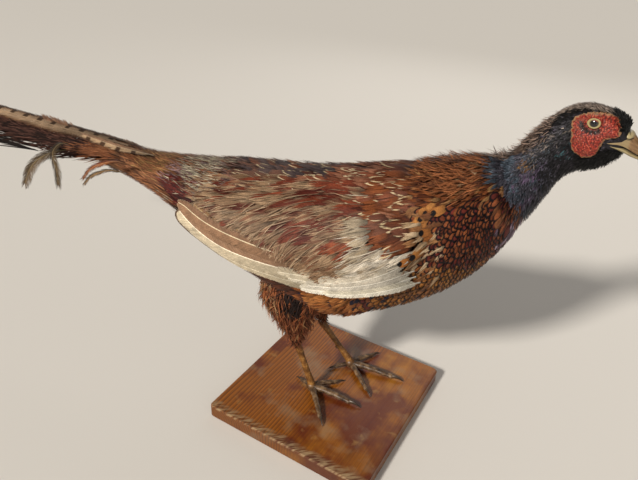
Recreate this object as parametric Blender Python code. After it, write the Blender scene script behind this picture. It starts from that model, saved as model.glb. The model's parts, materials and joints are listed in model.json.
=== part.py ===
"""A taxidermy cock pheasant standing on a square pine board, life size, in metres.

X runs along the body towards the bill, Y to the bird's left, Z up.
The origin lies on the underside of the board, below the body's middle plane.
Sizes below are in millimetres and are turned into metres by MM.
"""
import math

import bmesh
import bpy
import numpy as np
from mathutils import Vector
from mathutils.bvhtree import BVHTree

for old in list(bpy.data.objects):
    bpy.data.objects.remove(old, do_unlink=True)

MM = 0.001
GAP = 0.3            # air between solids that meet
BOARD_LONG = 186.0   # across the bird's heading
BOARD_WIDE = 182.0
BOARD_THICK = 15.0
BOARD_SHIFT = -12.0  # the bird stands left of the board's middle
BOARD_TURN = -9.0    # degrees, clockwise from above
BOARD_CORNER = 5.0
BOARD_CHAMFER = 1.2
DECK = BOARD_THICK + 0.25   # where the soles stand

# The bird's outline from the side: back point (x, z), keel point (x, z), half width and
# how far up from the keel the section is widest.
BODY = (
    ((-264, 248), (-262, 219), 18, 0.5),
    ((-236, 243.5), (-232, 212), 22, 0.5),
    ((-212, 241.5), (-203, 201), 30, 0.52),
    ((-180, 243.5), (-169, 184), 40, 0.52),
    ((-145, 248), (-127, 163), 50, 0.52),
    ((-105, 255), (-84, 141), 57, 0.52),
    ((-60, 260), (-40, 123), 61, 0.50),
    ((-15, 267), (5, 115), 63, 0.50),
    ((28, 277), (48, 137), 62, 0.50),
    ((60, 286), (89, 163), 58, 0.50),
    ((85, 293), (118, 189.5), 52, 0.50),
    ((105, 299), (137, 215.5), 43, 0.50),
    ((120, 303.5), (149.5, 241.5), 34, 0.48),
    ((129, 309), (157, 260), 26, 0.47),
    ((135, 319), (164, 277.3), 21, 0.47),
    ((141, 329.5), (169.5, 292), 19, 0.48),
    ((150, 341), (177, 301.5), 18.0, 0.50),
    ((162, 350), (186, 307.5), 17.8, 0.52),
    ((176, 353.8), (194, 311.5), 17.0, 0.54),
    ((190, 353), (200.5, 317.5), 14.8, 0.55),
    ((200, 349.3), (205, 323.5), 11.8, 0.52),
    ((206.5, 344.5), (207, 329), 8.5, 0.50),
)
CUT_COVERTS, CUT_NECK, CUT_HEAD = 2.6, 12.2, 15.3   # places along BODY where the nodes part
ROUND = 20           # corners of a body section
HEAD_TURN = 10.0     # degrees the head looks to the bird's right
TURN_FROM, TURN_TO = 95.0, 165.0

EYE_AT = (185.0, 345.3)
EYE_RADIUS = 6.2
EYE_OUT = 10.4       # from the head's middle plane to the eye's centre

# The rim of the bare red skin, from its front edge over the top and round, and its middle.
WATTLE_MID = (186.0, 336.5)
WATTLE = ((202.0, 341.5), (200.5, 347), (192.5, 350), (183.5, 350), (175, 347.5), (171, 341.5),
          (171.5, 332), (175, 324.5), (182, 320), (189.5, 320.8), (194, 328), (197, 334.8))

UPPER_BILL = (
    ((207.1, 340.4), (207.4, 331.0), 7.6, 0.4),
    ((212, 337.6), (212, 328.8), 6.7, 0.35),
    ((218, 333.6), (217.5, 326.8), 5.2, 0.35),
    ((224, 328.6), (222.8, 324.6), 3.4, 0.35),
    ((227, 324.9), (225.8, 323.0), 1.6, 0.35),
)
LOWER_BILL = (
    ((207.5, 329.8), (207.3, 325.2), 7.0, 0.6),
    ((212, 327.9), (211.6, 323.8), 6.0, 0.6),
    ((217.0, 325.9), (216.6, 322.8), 4.5, 0.6),
    ((221.6, 324.2), (221.2, 322.4), 2.3, 0.6),
)
BILL_TIPS = ((228.2, 0.0, 321.8), (224.2, 0.0, 322.8))

WING_LOW = ((84, 237), (77, 214), (49, 191), (10, 179), (-39, 174.5), (-87, 173),
            (-124, 179.5), (-149, 194), (-156, 205))
WING_HIGH = ((84, 241), (77, 251), (50, 257), (10, 254), (-39, 248), (-87, 241),
             (-122, 232), (-146, 219), (-156, 209))
WING_OFF = 2.0       # clear of the trunk
WING_DEEP = 8.0      # thickest part of the folded wing

# Height, middle x, middle y, half length, half breadth of the feathered thigh.
THIGH = (
    (163, -34, 27, 33, 13),
    (146, -38, 31, 33, 17),
    (128, -41, 32, 29, 17),
    (110, -38, 31, 21, 14.5),
    (94, -35.5, 29.5, 12.5, 10.5),
    (82, -34, 28, 7.0, 7.0),
    (76.5, -33.4, 27.5, 4.6, 4.8),
)

# Each leg: hock, where the toes meet, then toe tips (middle, outer, inner, hind), in mm.
LEGS = {
    "right": dict(hock=(-33.2, -27.2, 76), knuckle=(-16, -24), thigh=(0, 0),
                  toes=((30, -27.5), (9, -60), (6, -5), (-31, -18))),
    "left": dict(hock=(-28, 27.5, 68), knuckle=(10, 28), thigh=(6, -8),
                 toes=((61, 28), (29, 54), (40, -3), (-5, 16))),
}
SHANK_TOP = 4.3      # radius of the leg below the feathers
TOE_R = (3.6, 3.0, 2.9, 2.3)
CLAW = (11.0, 9.0, 9.0, 7.0)

TAIL_ROOT = -264.6
TAIL_Z = 248.5       # ridge height at the root
TAIL_RISE = 0.068    # ridge height gained per mm backwards
TAIL_TIPS = (-612, -575, -520, -455)      # the ends of the feather pairs, middle pair first
TAIL_HALF = (13.0, 13.0, 12.5, 12.0)      # widest half width of each vane
TAIL_SPREAD = (10.5, 15.5, 20.5, 26.0)    # how far out each vane's middle line lies at the back
TAIL_SAG = (0.0, 1.0, 4.0, 13.0)          # how much lower each vane hangs 200 mm behind the root
TAIL_ROOF = 23.0     # degrees each side slopes down
TAIL_PLY = 2.0       # from one vane to the next under it
TAIL_THICK = 1.2

# Bent feathers hanging from the tail's right side: points (x, y, z), half width
DROOPS = {
    "bent_feather_1": (((-309, -34.4, 229), (-307, -42, 231.5), (-299, -48, 224), (-293, -50, 209)), 4.5),
    "bent_feather_2": (((-319, -35.4, 228), (-328, -44, 229.5), (-340, -48.5, 217), (-347, -49, 198)), 6.0),
}


# ---------------------------------------------------------------- materials and meshes
def hex_rgb(text):
    value = [int(text[i:i + 2], 16) / 255 for i in (0, 2, 4)]
    return [c / 12.92 if c <= 0.04045 else ((c + 0.055) / 1.055) ** 2.4 for c in value] + [1.0]


SLOTS = {
    "trunk_plumage": ("8a4a26", 0.7), "head_plumage": ("26242e", 0.6),
    "rump_plumage": ("7a4a33", 0.75), "wing_plumage": ("b09a80", 0.7),
    "tail_plumage": ("a88a63", 0.6), "thigh_plumage": ("6a4630", 0.8),
    "wattle_skin": ("9c3a2c", 0.6), "eye_glass": ("a08a3c", 0.1),
    "bill_horn": ("a5905f", 0.4), "leg_scale": ("8f8264", 0.6),
    "claw_horn": ("3d3833", 0.4), "varnished_pine": ("a8652c", 0.35),
}


def finish(name, slot):
    """One material per node, named after its slot."""
    material = bpy.data.materials.new(slot)
    material.use_nodes = True
    shader = material.node_tree.nodes["Principled BSDF"]
    colour, rough = SLOTS[slot]
    shader.inputs["Base Color"].default_value = hex_rgb(colour)
    shader.inputs["Roughness"].default_value = rough
    material.diffuse_color = hex_rgb(colour)
    return material


def solid(name, slot, points, faces, helper=False):
    mesh = bpy.data.meshes.new(name)
    mesh.from_pydata([tuple(c * MM for c in p) for p in points], [], faces)
    built = bmesh.new()
    built.from_mesh(mesh)
    bmesh.ops.recalc_face_normals(built, faces=built.faces)
    bmesh.ops.triangulate(built, faces=built.faces)
    if built.calc_volume(signed=True) < 0:
        bmesh.ops.reverse_faces(built, faces=built.faces)
    built.to_mesh(mesh)
    built.free()
    obj = bpy.data.objects.new(name, mesh)
    bpy.context.scene.collection.objects.link(obj)
    if helper:
        obj.hide_render = True
        obj.display_type = "WIRE"
    else:
        mesh.materials.append(finish(name, slot))
    return obj


def combine(obj, other, operation):
    """Boolean, applied at once; the other object becomes a hidden helper."""
    other.hide_render = True
    other.display_type = "WIRE"
    step = obj.modifiers.new("bool", "BOOLEAN")
    step.operation, step.object, step.solver = operation, other, "EXACT"
    graph = bpy.context.evaluated_depsgraph_get()
    mesh = bpy.data.meshes.new_from_object(obj.evaluated_get(graph))
    obj.modifiers.clear()
    obj.data = mesh
    bpy.data.objects.remove(other, do_unlink=True)


# ---------------------------------------------------------------- curves and sections
def smooth(rows, at):
    """Catmull-Rom through the rows of a table at the place `at`, counted in rows."""
    rows = np.asarray(rows, float)
    last = len(rows) - 1
    at = min(max(at, 0.0), float(last))
    i = min(int(at), last - 1)
    t = at - i
    b, c = rows[i], rows[i + 1]
    a = rows[i - 1] if i > 0 else 2 * b - c
    d = rows[i + 2] if i + 2 <= last else 2 * c - b
    return 0.5 * (2 * b + (c - a) * t + (2 * a - 5 * b + 4 * c - d) * t ** 2
                  + (3 * b - a - 3 * c + d) * t ** 3)


def turned(point):
    """The neck's bend: forward of TURN_FROM the middle plane swings to the bird's right."""
    x, y, z = point
    full = math.radians(HEAD_TURN)
    t = min(max((x - TURN_FROM) / (TURN_TO - TURN_FROM), 0.0), 1.0)
    angle = full * t * t * (3 - 2 * t)
    steps = 24
    shift, at = 0.0, TURN_FROM
    if x > TURN_FROM:
        width = (x - TURN_FROM) / steps
        for k in range(steps):
            s = min((at + width * (k + 0.5) - TURN_FROM) / (TURN_TO - TURN_FROM), 1.0)
            shift -= math.tan(full * s * s * (3 - 2 * s)) * width
    return (x + y * math.sin(angle), shift + y * math.cos(angle), z)


def ring(row, corners, power=2.0, grow=0.0):
    """A closed section between its back point and keel point."""
    (xt, zt), (xb, zb), half, widest = row
    length = math.hypot(xt - xb, zt - zb)
    up = ((xt - xb) / length, (zt - zb) / length)
    middle = (xb + up[0] * length * widest, zb + up[1] * length * widest)
    points = []
    for k in range(corners):
        angle = 2 * math.pi * (k + 0.5) / corners
        c, s = math.cos(angle), math.sin(angle)
        c = math.copysign(abs(c) ** (2 / power), c)
        s = math.copysign(abs(s) ** (2 / power), s)
        tall = (length * (1 - widest) if s > 0 else length * widest) + grow
        points.append((middle[0] + up[0] * s * tall, (half + grow) * c, middle[1] + up[1] * s * tall))
    return points


def row_at(table, at):
    flat = smooth([(r[0][0], r[0][1], r[1][0], r[1][1], r[2], r[3]) for r in table], at)
    return ((flat[0], flat[1]), (flat[2], flat[3]), flat[4], flat[5])


def skin_rings(rings, tip=None):
    """Points and faces of a closed loft through rings of equal corner count."""
    n = len(rings[0])
    points = [p for r in rings for p in r]
    faces = [tuple(range(n))]
    for i in range(len(rings) - 1):
        for k in range(n):
            j = (k + 1) % n
            faces.append((i * n + k, i * n + j, (i + 1) * n + j, (i + 1) * n + k))
    last = (len(rings) - 1) * n
    if tip is None:
        faces.append(tuple(range(last, last + n)))
    else:
        points.append(tip)
        faces += [(last + k, last + (k + 1) % n, len(points) - 1) for k in range(n)]
    return points, faces


def body_piece(name, slot, start, stop, count, grow=0.0, helper=False):
    rings = [[turned(p) for p in ring(row_at(BODY, s), ROUND, 2.0, grow)]
             for s in np.linspace(start, stop, count)]
    return solid(name, slot, *skin_rings(rings), helper=helper)


def step_of(at, distance):
    """How far along the table is `distance` mm at the place `at`."""
    a, b = row_at(BODY, at - 0.05), row_at(BODY, at + 0.05)
    run = min(math.dist(a[0], b[0]), math.dist(a[1], b[1])) / 0.1
    return distance / run


def half_step(at):
    return step_of(at, GAP * 0.6)


# ---------------------------------------------------------------- the board
def board():
    half = (BOARD_WIDE / 2, BOARD_LONG / 2)
    turn = math.radians(BOARD_TURN)

    def outline(inset, z):
        points = []
        radius = BOARD_CORNER - inset * 0.5
        for quadrant in range(4):
            sx, sy = ((1, 1), (-1, 1), (-1, -1), (1, -1))[quadrant]
            for k in range(5):
                a = math.pi / 2 * (quadrant + k / 4)
                x = sx * (half[0] - inset - radius) + radius * math.cos(a)
                y = sy * (half[1] - inset - radius) + radius * math.sin(a)
                points.append((x * math.cos(turn) - y * math.sin(turn),
                               x * math.sin(turn) + y * math.cos(turn) + BOARD_SHIFT, z))
        return points

    c = BOARD_CHAMFER
    rings = [outline(c, 0), outline(0, c), outline(0, BOARD_THICK - c), outline(c, BOARD_THICK)]
    return solid("base_board", "varnished_pine", *skin_rings(rings))


board()

# ---------------------------------------------------------------- head, neck, trunk, coverts
g = half_step
coverts = body_piece("tail_coverts", "rump_plumage", 0, CUT_COVERTS - g(CUT_COVERTS), 5)
TRUNK_SPAN = (CUT_COVERTS + g(CUT_COVERTS), CUT_NECK - g(CUT_NECK), 18)
HEAD_SPAN = (CUT_HEAD + g(CUT_HEAD), len(BODY) - 1, 12)
trunk = body_piece("trunk", "trunk_plumage", *TRUNK_SPAN)
neck = body_piece("neck", "head_plumage", CUT_NECK + g(CUT_NECK), CUT_HEAD - g(CUT_HEAD), 7)
head = body_piece("head", "head_plumage", *HEAD_SPAN)


def ball(name, slot, centre, radius, helper=False, around=14, rows=8):
    points = []
    for i in range(1, rows):
        a = math.pi * i / rows
        for k in range(around):
            b = 2 * math.pi * k / around
            points.append((centre[0] + radius * math.sin(a) * math.cos(b),
                           centre[1] + radius * math.cos(a),
                           centre[2] + radius * math.sin(a) * math.sin(b)))
    n = around
    faces = [(i * n + k, i * n + (k + 1) % n, (i + 1) * n + (k + 1) % n, (i + 1) * n + k)
             for i in range(rows - 2) for k in range(n)]
    points += [(centre[0], centre[1] + radius, centre[2]), (centre[0], centre[1] - radius, centre[2])]
    first, last = len(points) - 2, len(points) - 1
    faces += [(k, (k + 1) % n, first) for k in range(n)]
    faces += [((rows - 2) * n + k, (rows - 2) * n + (k + 1) % n, last) for k in range(n)]
    return solid(name, slot, points, faces, helper=helper)


for side, sign in (("left", 1), ("right", -1)):
    centre = turned((EYE_AT[0], sign * EYE_OUT, EYE_AT[1]))
    combine(head, ball("socket_cut", "eye_glass", centre, EYE_RADIUS + GAP, helper=True),
            "DIFFERENCE")
    ball("eye_" + side, "eye_glass", centre, EYE_RADIUS)


# ---------------------------------------------------------------- the bill
def bill(name, table, tip, count):
    rings = [[turned(p) for p in ring(row_at(table, s), 14, 2.0)]
             for s in np.linspace(0, len(table) - 1, count)]
    return solid(name, "bill_horn", *skin_rings(rings, turned(tip)))


bill("bill_upper", UPPER_BILL, BILL_TIPS[0], 9)
bill("bill_lower", LOWER_BILL, BILL_TIPS[1], 7)


# ---------------------------------------------------------------- wings
def tree_of(obj):
    return BVHTree.FromPolygons([v.co[:] for v in obj.data.vertices],
                                [p.vertices[:] for p in obj.data.polygons])


def side_of(tree, x, z, sign, fallback):
    """The body's surface at (x, z), as its distance from the middle plane, in mm."""
    start = Vector((x * MM, sign * 0.4, z * MM))
    hit = tree.ray_cast(start, Vector((0, -sign, 0)))[0]
    return abs(hit.y) / MM if hit else fallback


def shell(name, slot, inner, outer):
    """A closed solid between two equal grids of points."""
    rows, cols = len(inner), len(inner[0])
    points = [p for r in inner for p in r] + [p for r in outer for p in r]
    base = rows * cols

    def at(i, j, top):
        return top * base + i * cols + j

    faces = []
    for i in range(rows - 1):
        for j in range(cols - 1):
            for top in (0, 1):
                faces.append((at(i, j, top), at(i + 1, j, top), at(i + 1, j + 1, top),
                              at(i, j + 1, top)))
    edge = [(0, j) for j in range(cols)] + [(i, cols - 1) for i in range(1, rows)]
    edge += [(rows - 1, j) for j in range(cols - 2, -1, -1)] + [(i, 0) for i in range(rows - 2, 0, -1)]
    for k, (i, j) in enumerate(edge):
        m, n = edge[(k + 1) % len(edge)]
        faces.append((at(i, j, 0), at(m, n, 0), at(m, n, 1), at(i, j, 1)))
    return solid(name, slot, points, faces)


trunk_tree = tree_of(trunk)
for side, sign in (("left", 1), ("right", -1)):
    inner, outer = [], []
    long, tall = 18, 8
    for i in range(long):
        u = i / (long - 1)
        low = smooth(WING_LOW, u * (len(WING_LOW) - 1))
        high = smooth(WING_HIGH, u * (len(WING_HIGH) - 1))
        row_in, row_out = [], []
        for j in range(tall):
            v = j / (tall - 1)
            x, z = low + (high - low) * v
            belly = math.sin(math.pi * min(max(u, 0), 1)) ** 0.6
            thick = 1.4 + (WING_DEEP - 1.4) * belly * math.sin(math.pi * (0.08 + 0.84 * v))
            stand = WING_OFF + 3.5 * u * (1 - v) + 2.0 * (1 - u) * (1 - v) * belly
            y = side_of(trunk_tree, x, z, sign, 38.0) + stand
            row_in.append((x, sign * y, z))
            row_out.append((x, sign * (y + thick), z))
        inner.append(row_in)
        outer.append(row_out)
    shell("wing_" + side, "wing_plumage", inner, outer)


# ---------------------------------------------------------------- wattles
def inside_patch(u, v):
    """The bare red skin round the eye: a disc (u, v in -1..1) to side-view x, z."""
    reach = min(1.0, math.hypot(u, v))
    place = (math.atan2(v, u) / (2 * math.pi) * len(WATTLE)) % len(WATTLE)
    rim = smooth(WATTLE[-2:] + WATTLE + WATTLE[:2], place + 2)
    return tuple(np.array(WATTLE_MID) * (1 - reach) + rim * reach)


# ---------------------------------------------------------------- thighs
for side, sign in (("left", 1), ("right", -1)):
    move_x, move_z = LEGS[side]["thigh"]
    rings = []
    for s in np.linspace(0, len(THIGH) - 1, 8):
        z, x, y, a, b = smooth(THIGH, s)
        low = s / (len(THIGH) - 1)
        rings.append([(x + move_x * low + a * math.cos(2 * math.pi * k / 14),
                       sign * y + b * math.sin(2 * math.pi * k / 14),
                       z + move_z * low - 0.10 * a * math.cos(2 * math.pi * k / 14))
                      for k in range(14)])
    thigh = solid("thigh_" + side, "thigh_plumage", *skin_rings(rings))
    cutter = body_piece("trunk_cut", "trunk_plumage", *TRUNK_SPAN, GAP + 0.1, True)
    combine(thigh, cutter, "DIFFERENCE")


# ---------------------------------------------------------------- legs, toes and claws
def tube(points, radii, corners, flat=1.0, closed_tip=None):
    """Rings round a run of points, each turned across the run."""
    rings = []
    for i, p in enumerate(points):
        a = Vector(points[max(i - 1, 0)])
        b = Vector(points[min(i + 1, len(points) - 1)])
        ahead = (b - a).normalized()
        across = ahead.cross(Vector((0, 0, 1)))
        if across.length < 1e-3:
            across = Vector((0, 1, 0))
        across.normalize()
        up = across.cross(ahead).normalized()
        rings.append([tuple(Vector(p) + across * radii[i] * math.cos(2 * math.pi * (k + 0.5) / corners)
                            + up * radii[i] * flat * math.sin(2 * math.pi * (k + 0.5) / corners))
                      for k in range(corners)])
    return skin_rings(rings, closed_tip)


for side, sign in (("left", 1), ("right", -1)):
    leg = LEGS[side]
    hock, knuckle = Vector(leg["hock"]), Vector((*leg["knuckle"], DECK + 6.5))
    down = (knuckle - hock).normalized()
    lean = math.hypot(down.x, down.y)
    top = hock + down * ((GAP + 0.2 + SHANK_TOP * lean) / -down.z)
    run = [tuple(top.lerp(knuckle, t)) for t in (0.0, 0.15, 0.4, 0.7, 0.9, 1.04)]
    shank = solid("leg_" + side, "leg_scale",
                  *tube(run, [SHANK_TOP, 3.9, 3.3, 3.4, 4.2, 4.4], 10))
    spur_at = hock.lerp(knuckle, 0.66)
    back = Vector((-1.0, -0.25 * sign, 0.1)).normalized()
    spur = [tuple(spur_at + back * d) for d in (0.0, 3.2, 6.0)]
    combine(shank, solid("spur", "leg_scale", *tube(spur, [2.6, 2.2, 1.3], 8), helper=True), "UNION")
    for number, tip in enumerate(leg["toes"]):
        tip = Vector((*tip, DECK + TOE_R[number] * 0.8))
        start = Vector((*leg["knuckle"], DECK + 4.6))
        away = (tip - start).normalized()
        length = (tip - start).length
        root = start - away * 2.0
        count = 8
        run, radii = [], []
        for i in range(count):
            t = i / (count - 1)
            arch = 1.6 * math.sin(math.pi * t) if number < 3 else 0.5 * math.sin(math.pi * t)
            p = root.lerp(tip, t)
            pads = 1.0 + 0.09 * math.cos(t * (4 if number < 3 else 2) * 2 * math.pi)
            radius = TOE_R[number] * (1.12 - 0.34 * t) * pads
            p.z = max(p.z + arch, DECK + radius * 0.87)
            run.append(tuple(p))
            radii.append(radius)
        combine(shank, solid("toe", "leg_scale", *tube(run, radii, 8, 0.86), helper=True), "UNION")
        # the claw starts a gap beyond the toe and curves down to the board
        flat = Vector((away.x, away.y, 0)).normalized()
        claw, widths = [], []
        for i in range(5):
            t = i / 4
            p = Vector(run[-1]) + flat * (GAP + 0.75 + CLAW[number] * t)
            p.z = DECK + 0.5 + (run[-1][2] - DECK - 0.1) * math.cos(t * math.pi / 2) ** 0.8 \
                + 0.9 * math.sin(math.pi * t)
            claw.append(tuple(p))
            widths.append(radii[-1] * 0.78 * (1 - 0.78 * t))
            if p.z - widths[-1] < DECK:
                claw[-1] = (p.x, p.y, DECK + widths[-1])
        solid(f"claw_{side}_{number + 1}", "claw_horn", *tube(claw, widths, 6))


# ---------------------------------------------------------------- tail feathers
def vane_half(t, widest):
    """Half width along a tail feather: quick to full width, long taper, blunt point."""
    rise = min(1.0, 0.55 + 2.2 * t)
    fall = 1.0 - 0.62 * max(0.0, (t - 0.25) / 0.75) ** 1.3
    tip = min(1.0, math.sqrt(max(0.0, (1 - t) / 0.06)) * 0.75 + 0.12)
    return widest * rise * fall * tip


roof = math.radians(TAIL_ROOF)
for side, sign in (("left", 1), ("right", -1)):
    for number in range(4):
        rings = []
        count = 13
        tip_x = TAIL_TIPS[number]
        for i in range(count):
            t = i / (count - 1)
            x = TAIL_ROOT + (tip_x - TAIL_ROOT) * t
            half = vane_half(t, TAIL_HALF[number])
            spread = 8.0 + (TAIL_SPREAD[number] - 8.0) * math.sin(math.pi / 2 * min(1.0, (TAIL_ROOT - x) / 80.0))
            spread = max(spread, half + 0.3)
            ridge = TAIL_Z + TAIL_RISE * (TAIL_ROOT - x) - 10.0 * max(0.0, (-420 - x) / 190.0) ** 2
            droop = ridge - number * TAIL_PLY / math.cos(roof) \
                - TAIL_SAG[number] * ((TAIL_ROOT - x) / 200.0) ** 1.6
            section = []
            for along, lift in ((-1, 0), (-0.3, 1), (0.4, 1), (1, 0), (0.4, -0.7), (-0.3, -0.7)):
                w = spread + half * along
                y = w * math.cos(roof) + 0.5 * TAIL_THICK * lift * math.sin(roof)
                z = droop - w * math.sin(roof) + 0.5 * TAIL_THICK * lift * math.cos(roof)
                section.append((x, sign * (y + 0.1), z))
            rings.append(section)
        solid(f"tail_{side}_{number + 1}", "tail_plumage", *skin_rings(rings))

# ---------------------------------------------------------------- bent feathers
for name, (path, half) in DROOPS.items():
    rings = []
    for s in np.linspace(0, len(path) - 1, 9):
        p = Vector(smooth(path, s))
        ahead = (Vector(smooth(path, s + 0.05)) - Vector(smooth(path, s - 0.05))).normalized()
        face = Vector((0.25, -1.0, 0.35)).normalized()
        across = ahead.cross(face).normalized()
        out = across.cross(ahead).normalized()
        t = s / (len(path) - 1)
        w = half * (0.35 + 1.0 * math.sin(math.pi * (0.12 + 0.82 * t)) ** 0.8) * 0.75
        rings.append([tuple(p + across * w * c + out * 0.45 * k)
                      for c, k in ((-1, 0), (0, 1), (1, 0), (0, -1))])
    solid(name, "tail_plumage", *skin_rings(rings))

# ---------------------------------------------------------------- wattle shells
head_tree = tree_of(head)
for side, sign in (("left", 1), ("right", -1)):
    inner, outer = [], []
    grid = 9
    for i in range(grid):
        row_in, row_out = [], []
        for j in range(grid):
            a, b = -1 + 2 * i / (grid - 1), -1 + 2 * j / (grid - 1)
            # square to disc
            u = a * math.sqrt(1 - b * b / 2)
            v = b * math.sqrt(1 - a * a / 2)
            x, z = inside_patch(u, v)
            near_eye = math.hypot(x - EYE_AT[0], z - EYE_AT[1])
            rim = 1 - min(1.0, math.hypot(u, v)) ** 4
            at = turned((x, 0.0, z))
            aim = Vector(turned((x, sign * 1.0, z))) - Vector(at)
            start = Vector(at) * MM + aim * 0.1
            hit = head_tree.ray_cast(start, -aim)[0]
            depth = (Vector(hit) / MM - Vector(at)).length if hit else 8.0
            row_in.append((x, depth, z, near_eye))
            row_out.append(rim)
        inner.append(row_in)
        outer.append(row_out)
    low_grid, high_grid = [], []
    for row_in, row_out in zip(inner, outer):
        low_grid.append([turned((x, sign * (d - 1.5), z)) for x, d, z, _ in row_in])
        high_grid.append([turned((x, sign * (d + 1.2 + 1.3 * rim), z))
                          for (x, d, z, _), rim in zip(row_in, row_out)])
    patch = shell("wattle_" + side, "wattle_skin", low_grid, high_grid)
    combine(patch, body_piece("head_cut", "head_plumage", *HEAD_SPAN, GAP, True), "DIFFERENCE")
    centre = turned((EYE_AT[0], sign * EYE_OUT, EYE_AT[1]))
    combine(patch, ball("eye_cut", "eye_glass", centre, EYE_RADIUS + GAP, helper=True), "DIFFERENCE")
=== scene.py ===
import json
import math

import bpy
import numpy as np
from mathutils import Matrix, Vector
from mathutils.bvhtree import BVHTree
from mathutils.kdtree import KDTree

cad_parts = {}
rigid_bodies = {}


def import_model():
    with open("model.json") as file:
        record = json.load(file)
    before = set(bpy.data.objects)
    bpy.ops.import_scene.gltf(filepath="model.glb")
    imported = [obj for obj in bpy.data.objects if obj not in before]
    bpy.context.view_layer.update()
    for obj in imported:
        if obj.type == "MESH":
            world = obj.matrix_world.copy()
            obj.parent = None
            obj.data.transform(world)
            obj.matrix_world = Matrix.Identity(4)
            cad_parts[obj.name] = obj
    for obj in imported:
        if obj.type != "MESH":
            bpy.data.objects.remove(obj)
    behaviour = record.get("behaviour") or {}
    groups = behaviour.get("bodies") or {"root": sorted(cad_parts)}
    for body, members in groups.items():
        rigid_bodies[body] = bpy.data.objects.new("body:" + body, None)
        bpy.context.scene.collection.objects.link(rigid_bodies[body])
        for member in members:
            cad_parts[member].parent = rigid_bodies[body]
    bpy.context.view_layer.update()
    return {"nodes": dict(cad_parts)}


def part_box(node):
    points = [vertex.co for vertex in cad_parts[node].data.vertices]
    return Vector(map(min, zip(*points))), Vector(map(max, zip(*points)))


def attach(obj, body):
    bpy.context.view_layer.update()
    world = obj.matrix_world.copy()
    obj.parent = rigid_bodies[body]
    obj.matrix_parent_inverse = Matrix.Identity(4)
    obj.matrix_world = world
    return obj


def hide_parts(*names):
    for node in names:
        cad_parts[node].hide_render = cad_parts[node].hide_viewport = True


for old in list(bpy.data.objects):
    bpy.data.objects.remove(old, do_unlink=True)
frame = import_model()
nodes = frame["nodes"]
MM = 0.001
SIDES = (("right", -1), ("left", 1))     # and the sign of Y on each

# %% [markdown]
# ## Camera, light and floor
#
# A mounted bird is usually lit from one side, as by a window: a far lamp high on the left with a
# slightly soft edge puts a shadow under every feather, and weak wide lamps open those shadows. The
# floor is plain matt paint, so nothing competes with the plumage.
# %% Camera, lamps and floor
EYE_POINT = Vector((0.1445, -0.4411, 0.4589))
FORWARD = Vector((-0.31066, 0.80931, -0.4985)).normalized()
UPWARD = Vector((-0.22297, 0.44777, 0.8659)).normalized()
LENS, SENSOR = 31.57, 36.0


def aim(obj, place, forward, upward=Vector((0, 0, 1))):
    """Puts a camera or lamp at a place, looking along `forward`."""
    back = -forward.normalized()
    right = upward.cross(back).normalized()
    turn = Matrix((right, back.cross(right), back)).transposed().to_4x4()
    obj.matrix_world = Matrix.Translation(place) @ turn
    bpy.context.scene.collection.objects.link(obj)


camera = bpy.data.objects.new("camera", bpy.data.cameras.new("camera"))
camera.data.lens, camera.data.sensor_width = LENS, SENSOR
camera.data.clip_start = 0.01
aim(camera, EYE_POINT, FORWARD, UPWARD)
bpy.context.scene.camera = camera
LAMPS = (("key", "SUN", (-0.55, -1.25, 1.15), math.radians(7.0), 3.5, (1.0, 0.955, 0.88)),
    ("fill", "AREA", (0.95, -0.9, 0.75), 1.4, 2.6, (1.0, 0.97, 0.93)),
    ("back", "AREA", (0.1, 1.3, 1.1), 1.4, 4.0, (1.0, 0.98, 0.96)))
TARGET = Vector((-0.02, 0.0, 0.2))
for name, kind, place, size, power, colour in LAMPS:
    lamp = bpy.data.lights.new(name, kind)
    lamp.energy, lamp.color = power, colour
    if kind == "SUN":
        lamp.angle = size
    else:
        lamp.size = size
    aim(bpy.data.objects.new(name, lamp), Vector(place), TARGET - Vector(place))
world = bpy.data.worlds.new("room")
bpy.context.scene.world = world
world.use_nodes = True
world.node_tree.nodes["Background"].inputs["Color"].default_value = (0.88, 0.85, 0.81, 1)
world.node_tree.nodes["Background"].inputs["Strength"].default_value = 0.26
bpy.context.scene.view_settings.view_transform = "Standard"
print("camera at", [round(c, 3) for c in EYE_POINT], "lamps", len(LAMPS))

# %% [markdown]
# ## Small tools
#
# Colours are written as sRGB hex, the way a paint chart gives them, and one function turns them
# to the linear values a shader wants. Shader nodes could be placed by hand in the editor, but a
# finish written as lines of text can be read and changed, so `node` adds one node a line.
# `smooth` is a Catmull-Rom curve: it passes through the rows of a table, so that a bird's outline
# can be written down as a few sections.
# %% Colour, nodes and curves
def srgb(code):
    """A hex colour as linear red, green and blue."""
    part = np.array([int(code[i:i + 2], 16) for i in (0, 2, 4)]) / 255
    return np.where(part <= 0.04045, part / 12.92, ((part + 0.055) / 1.055) ** 2.4)


def rgba(code):
    return (*srgb(code), 1.0)


CHOICE = {"MapRange": "interpolation_type", "Mix": "data_type", "VectorRotate": "rotation_type"}


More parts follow.
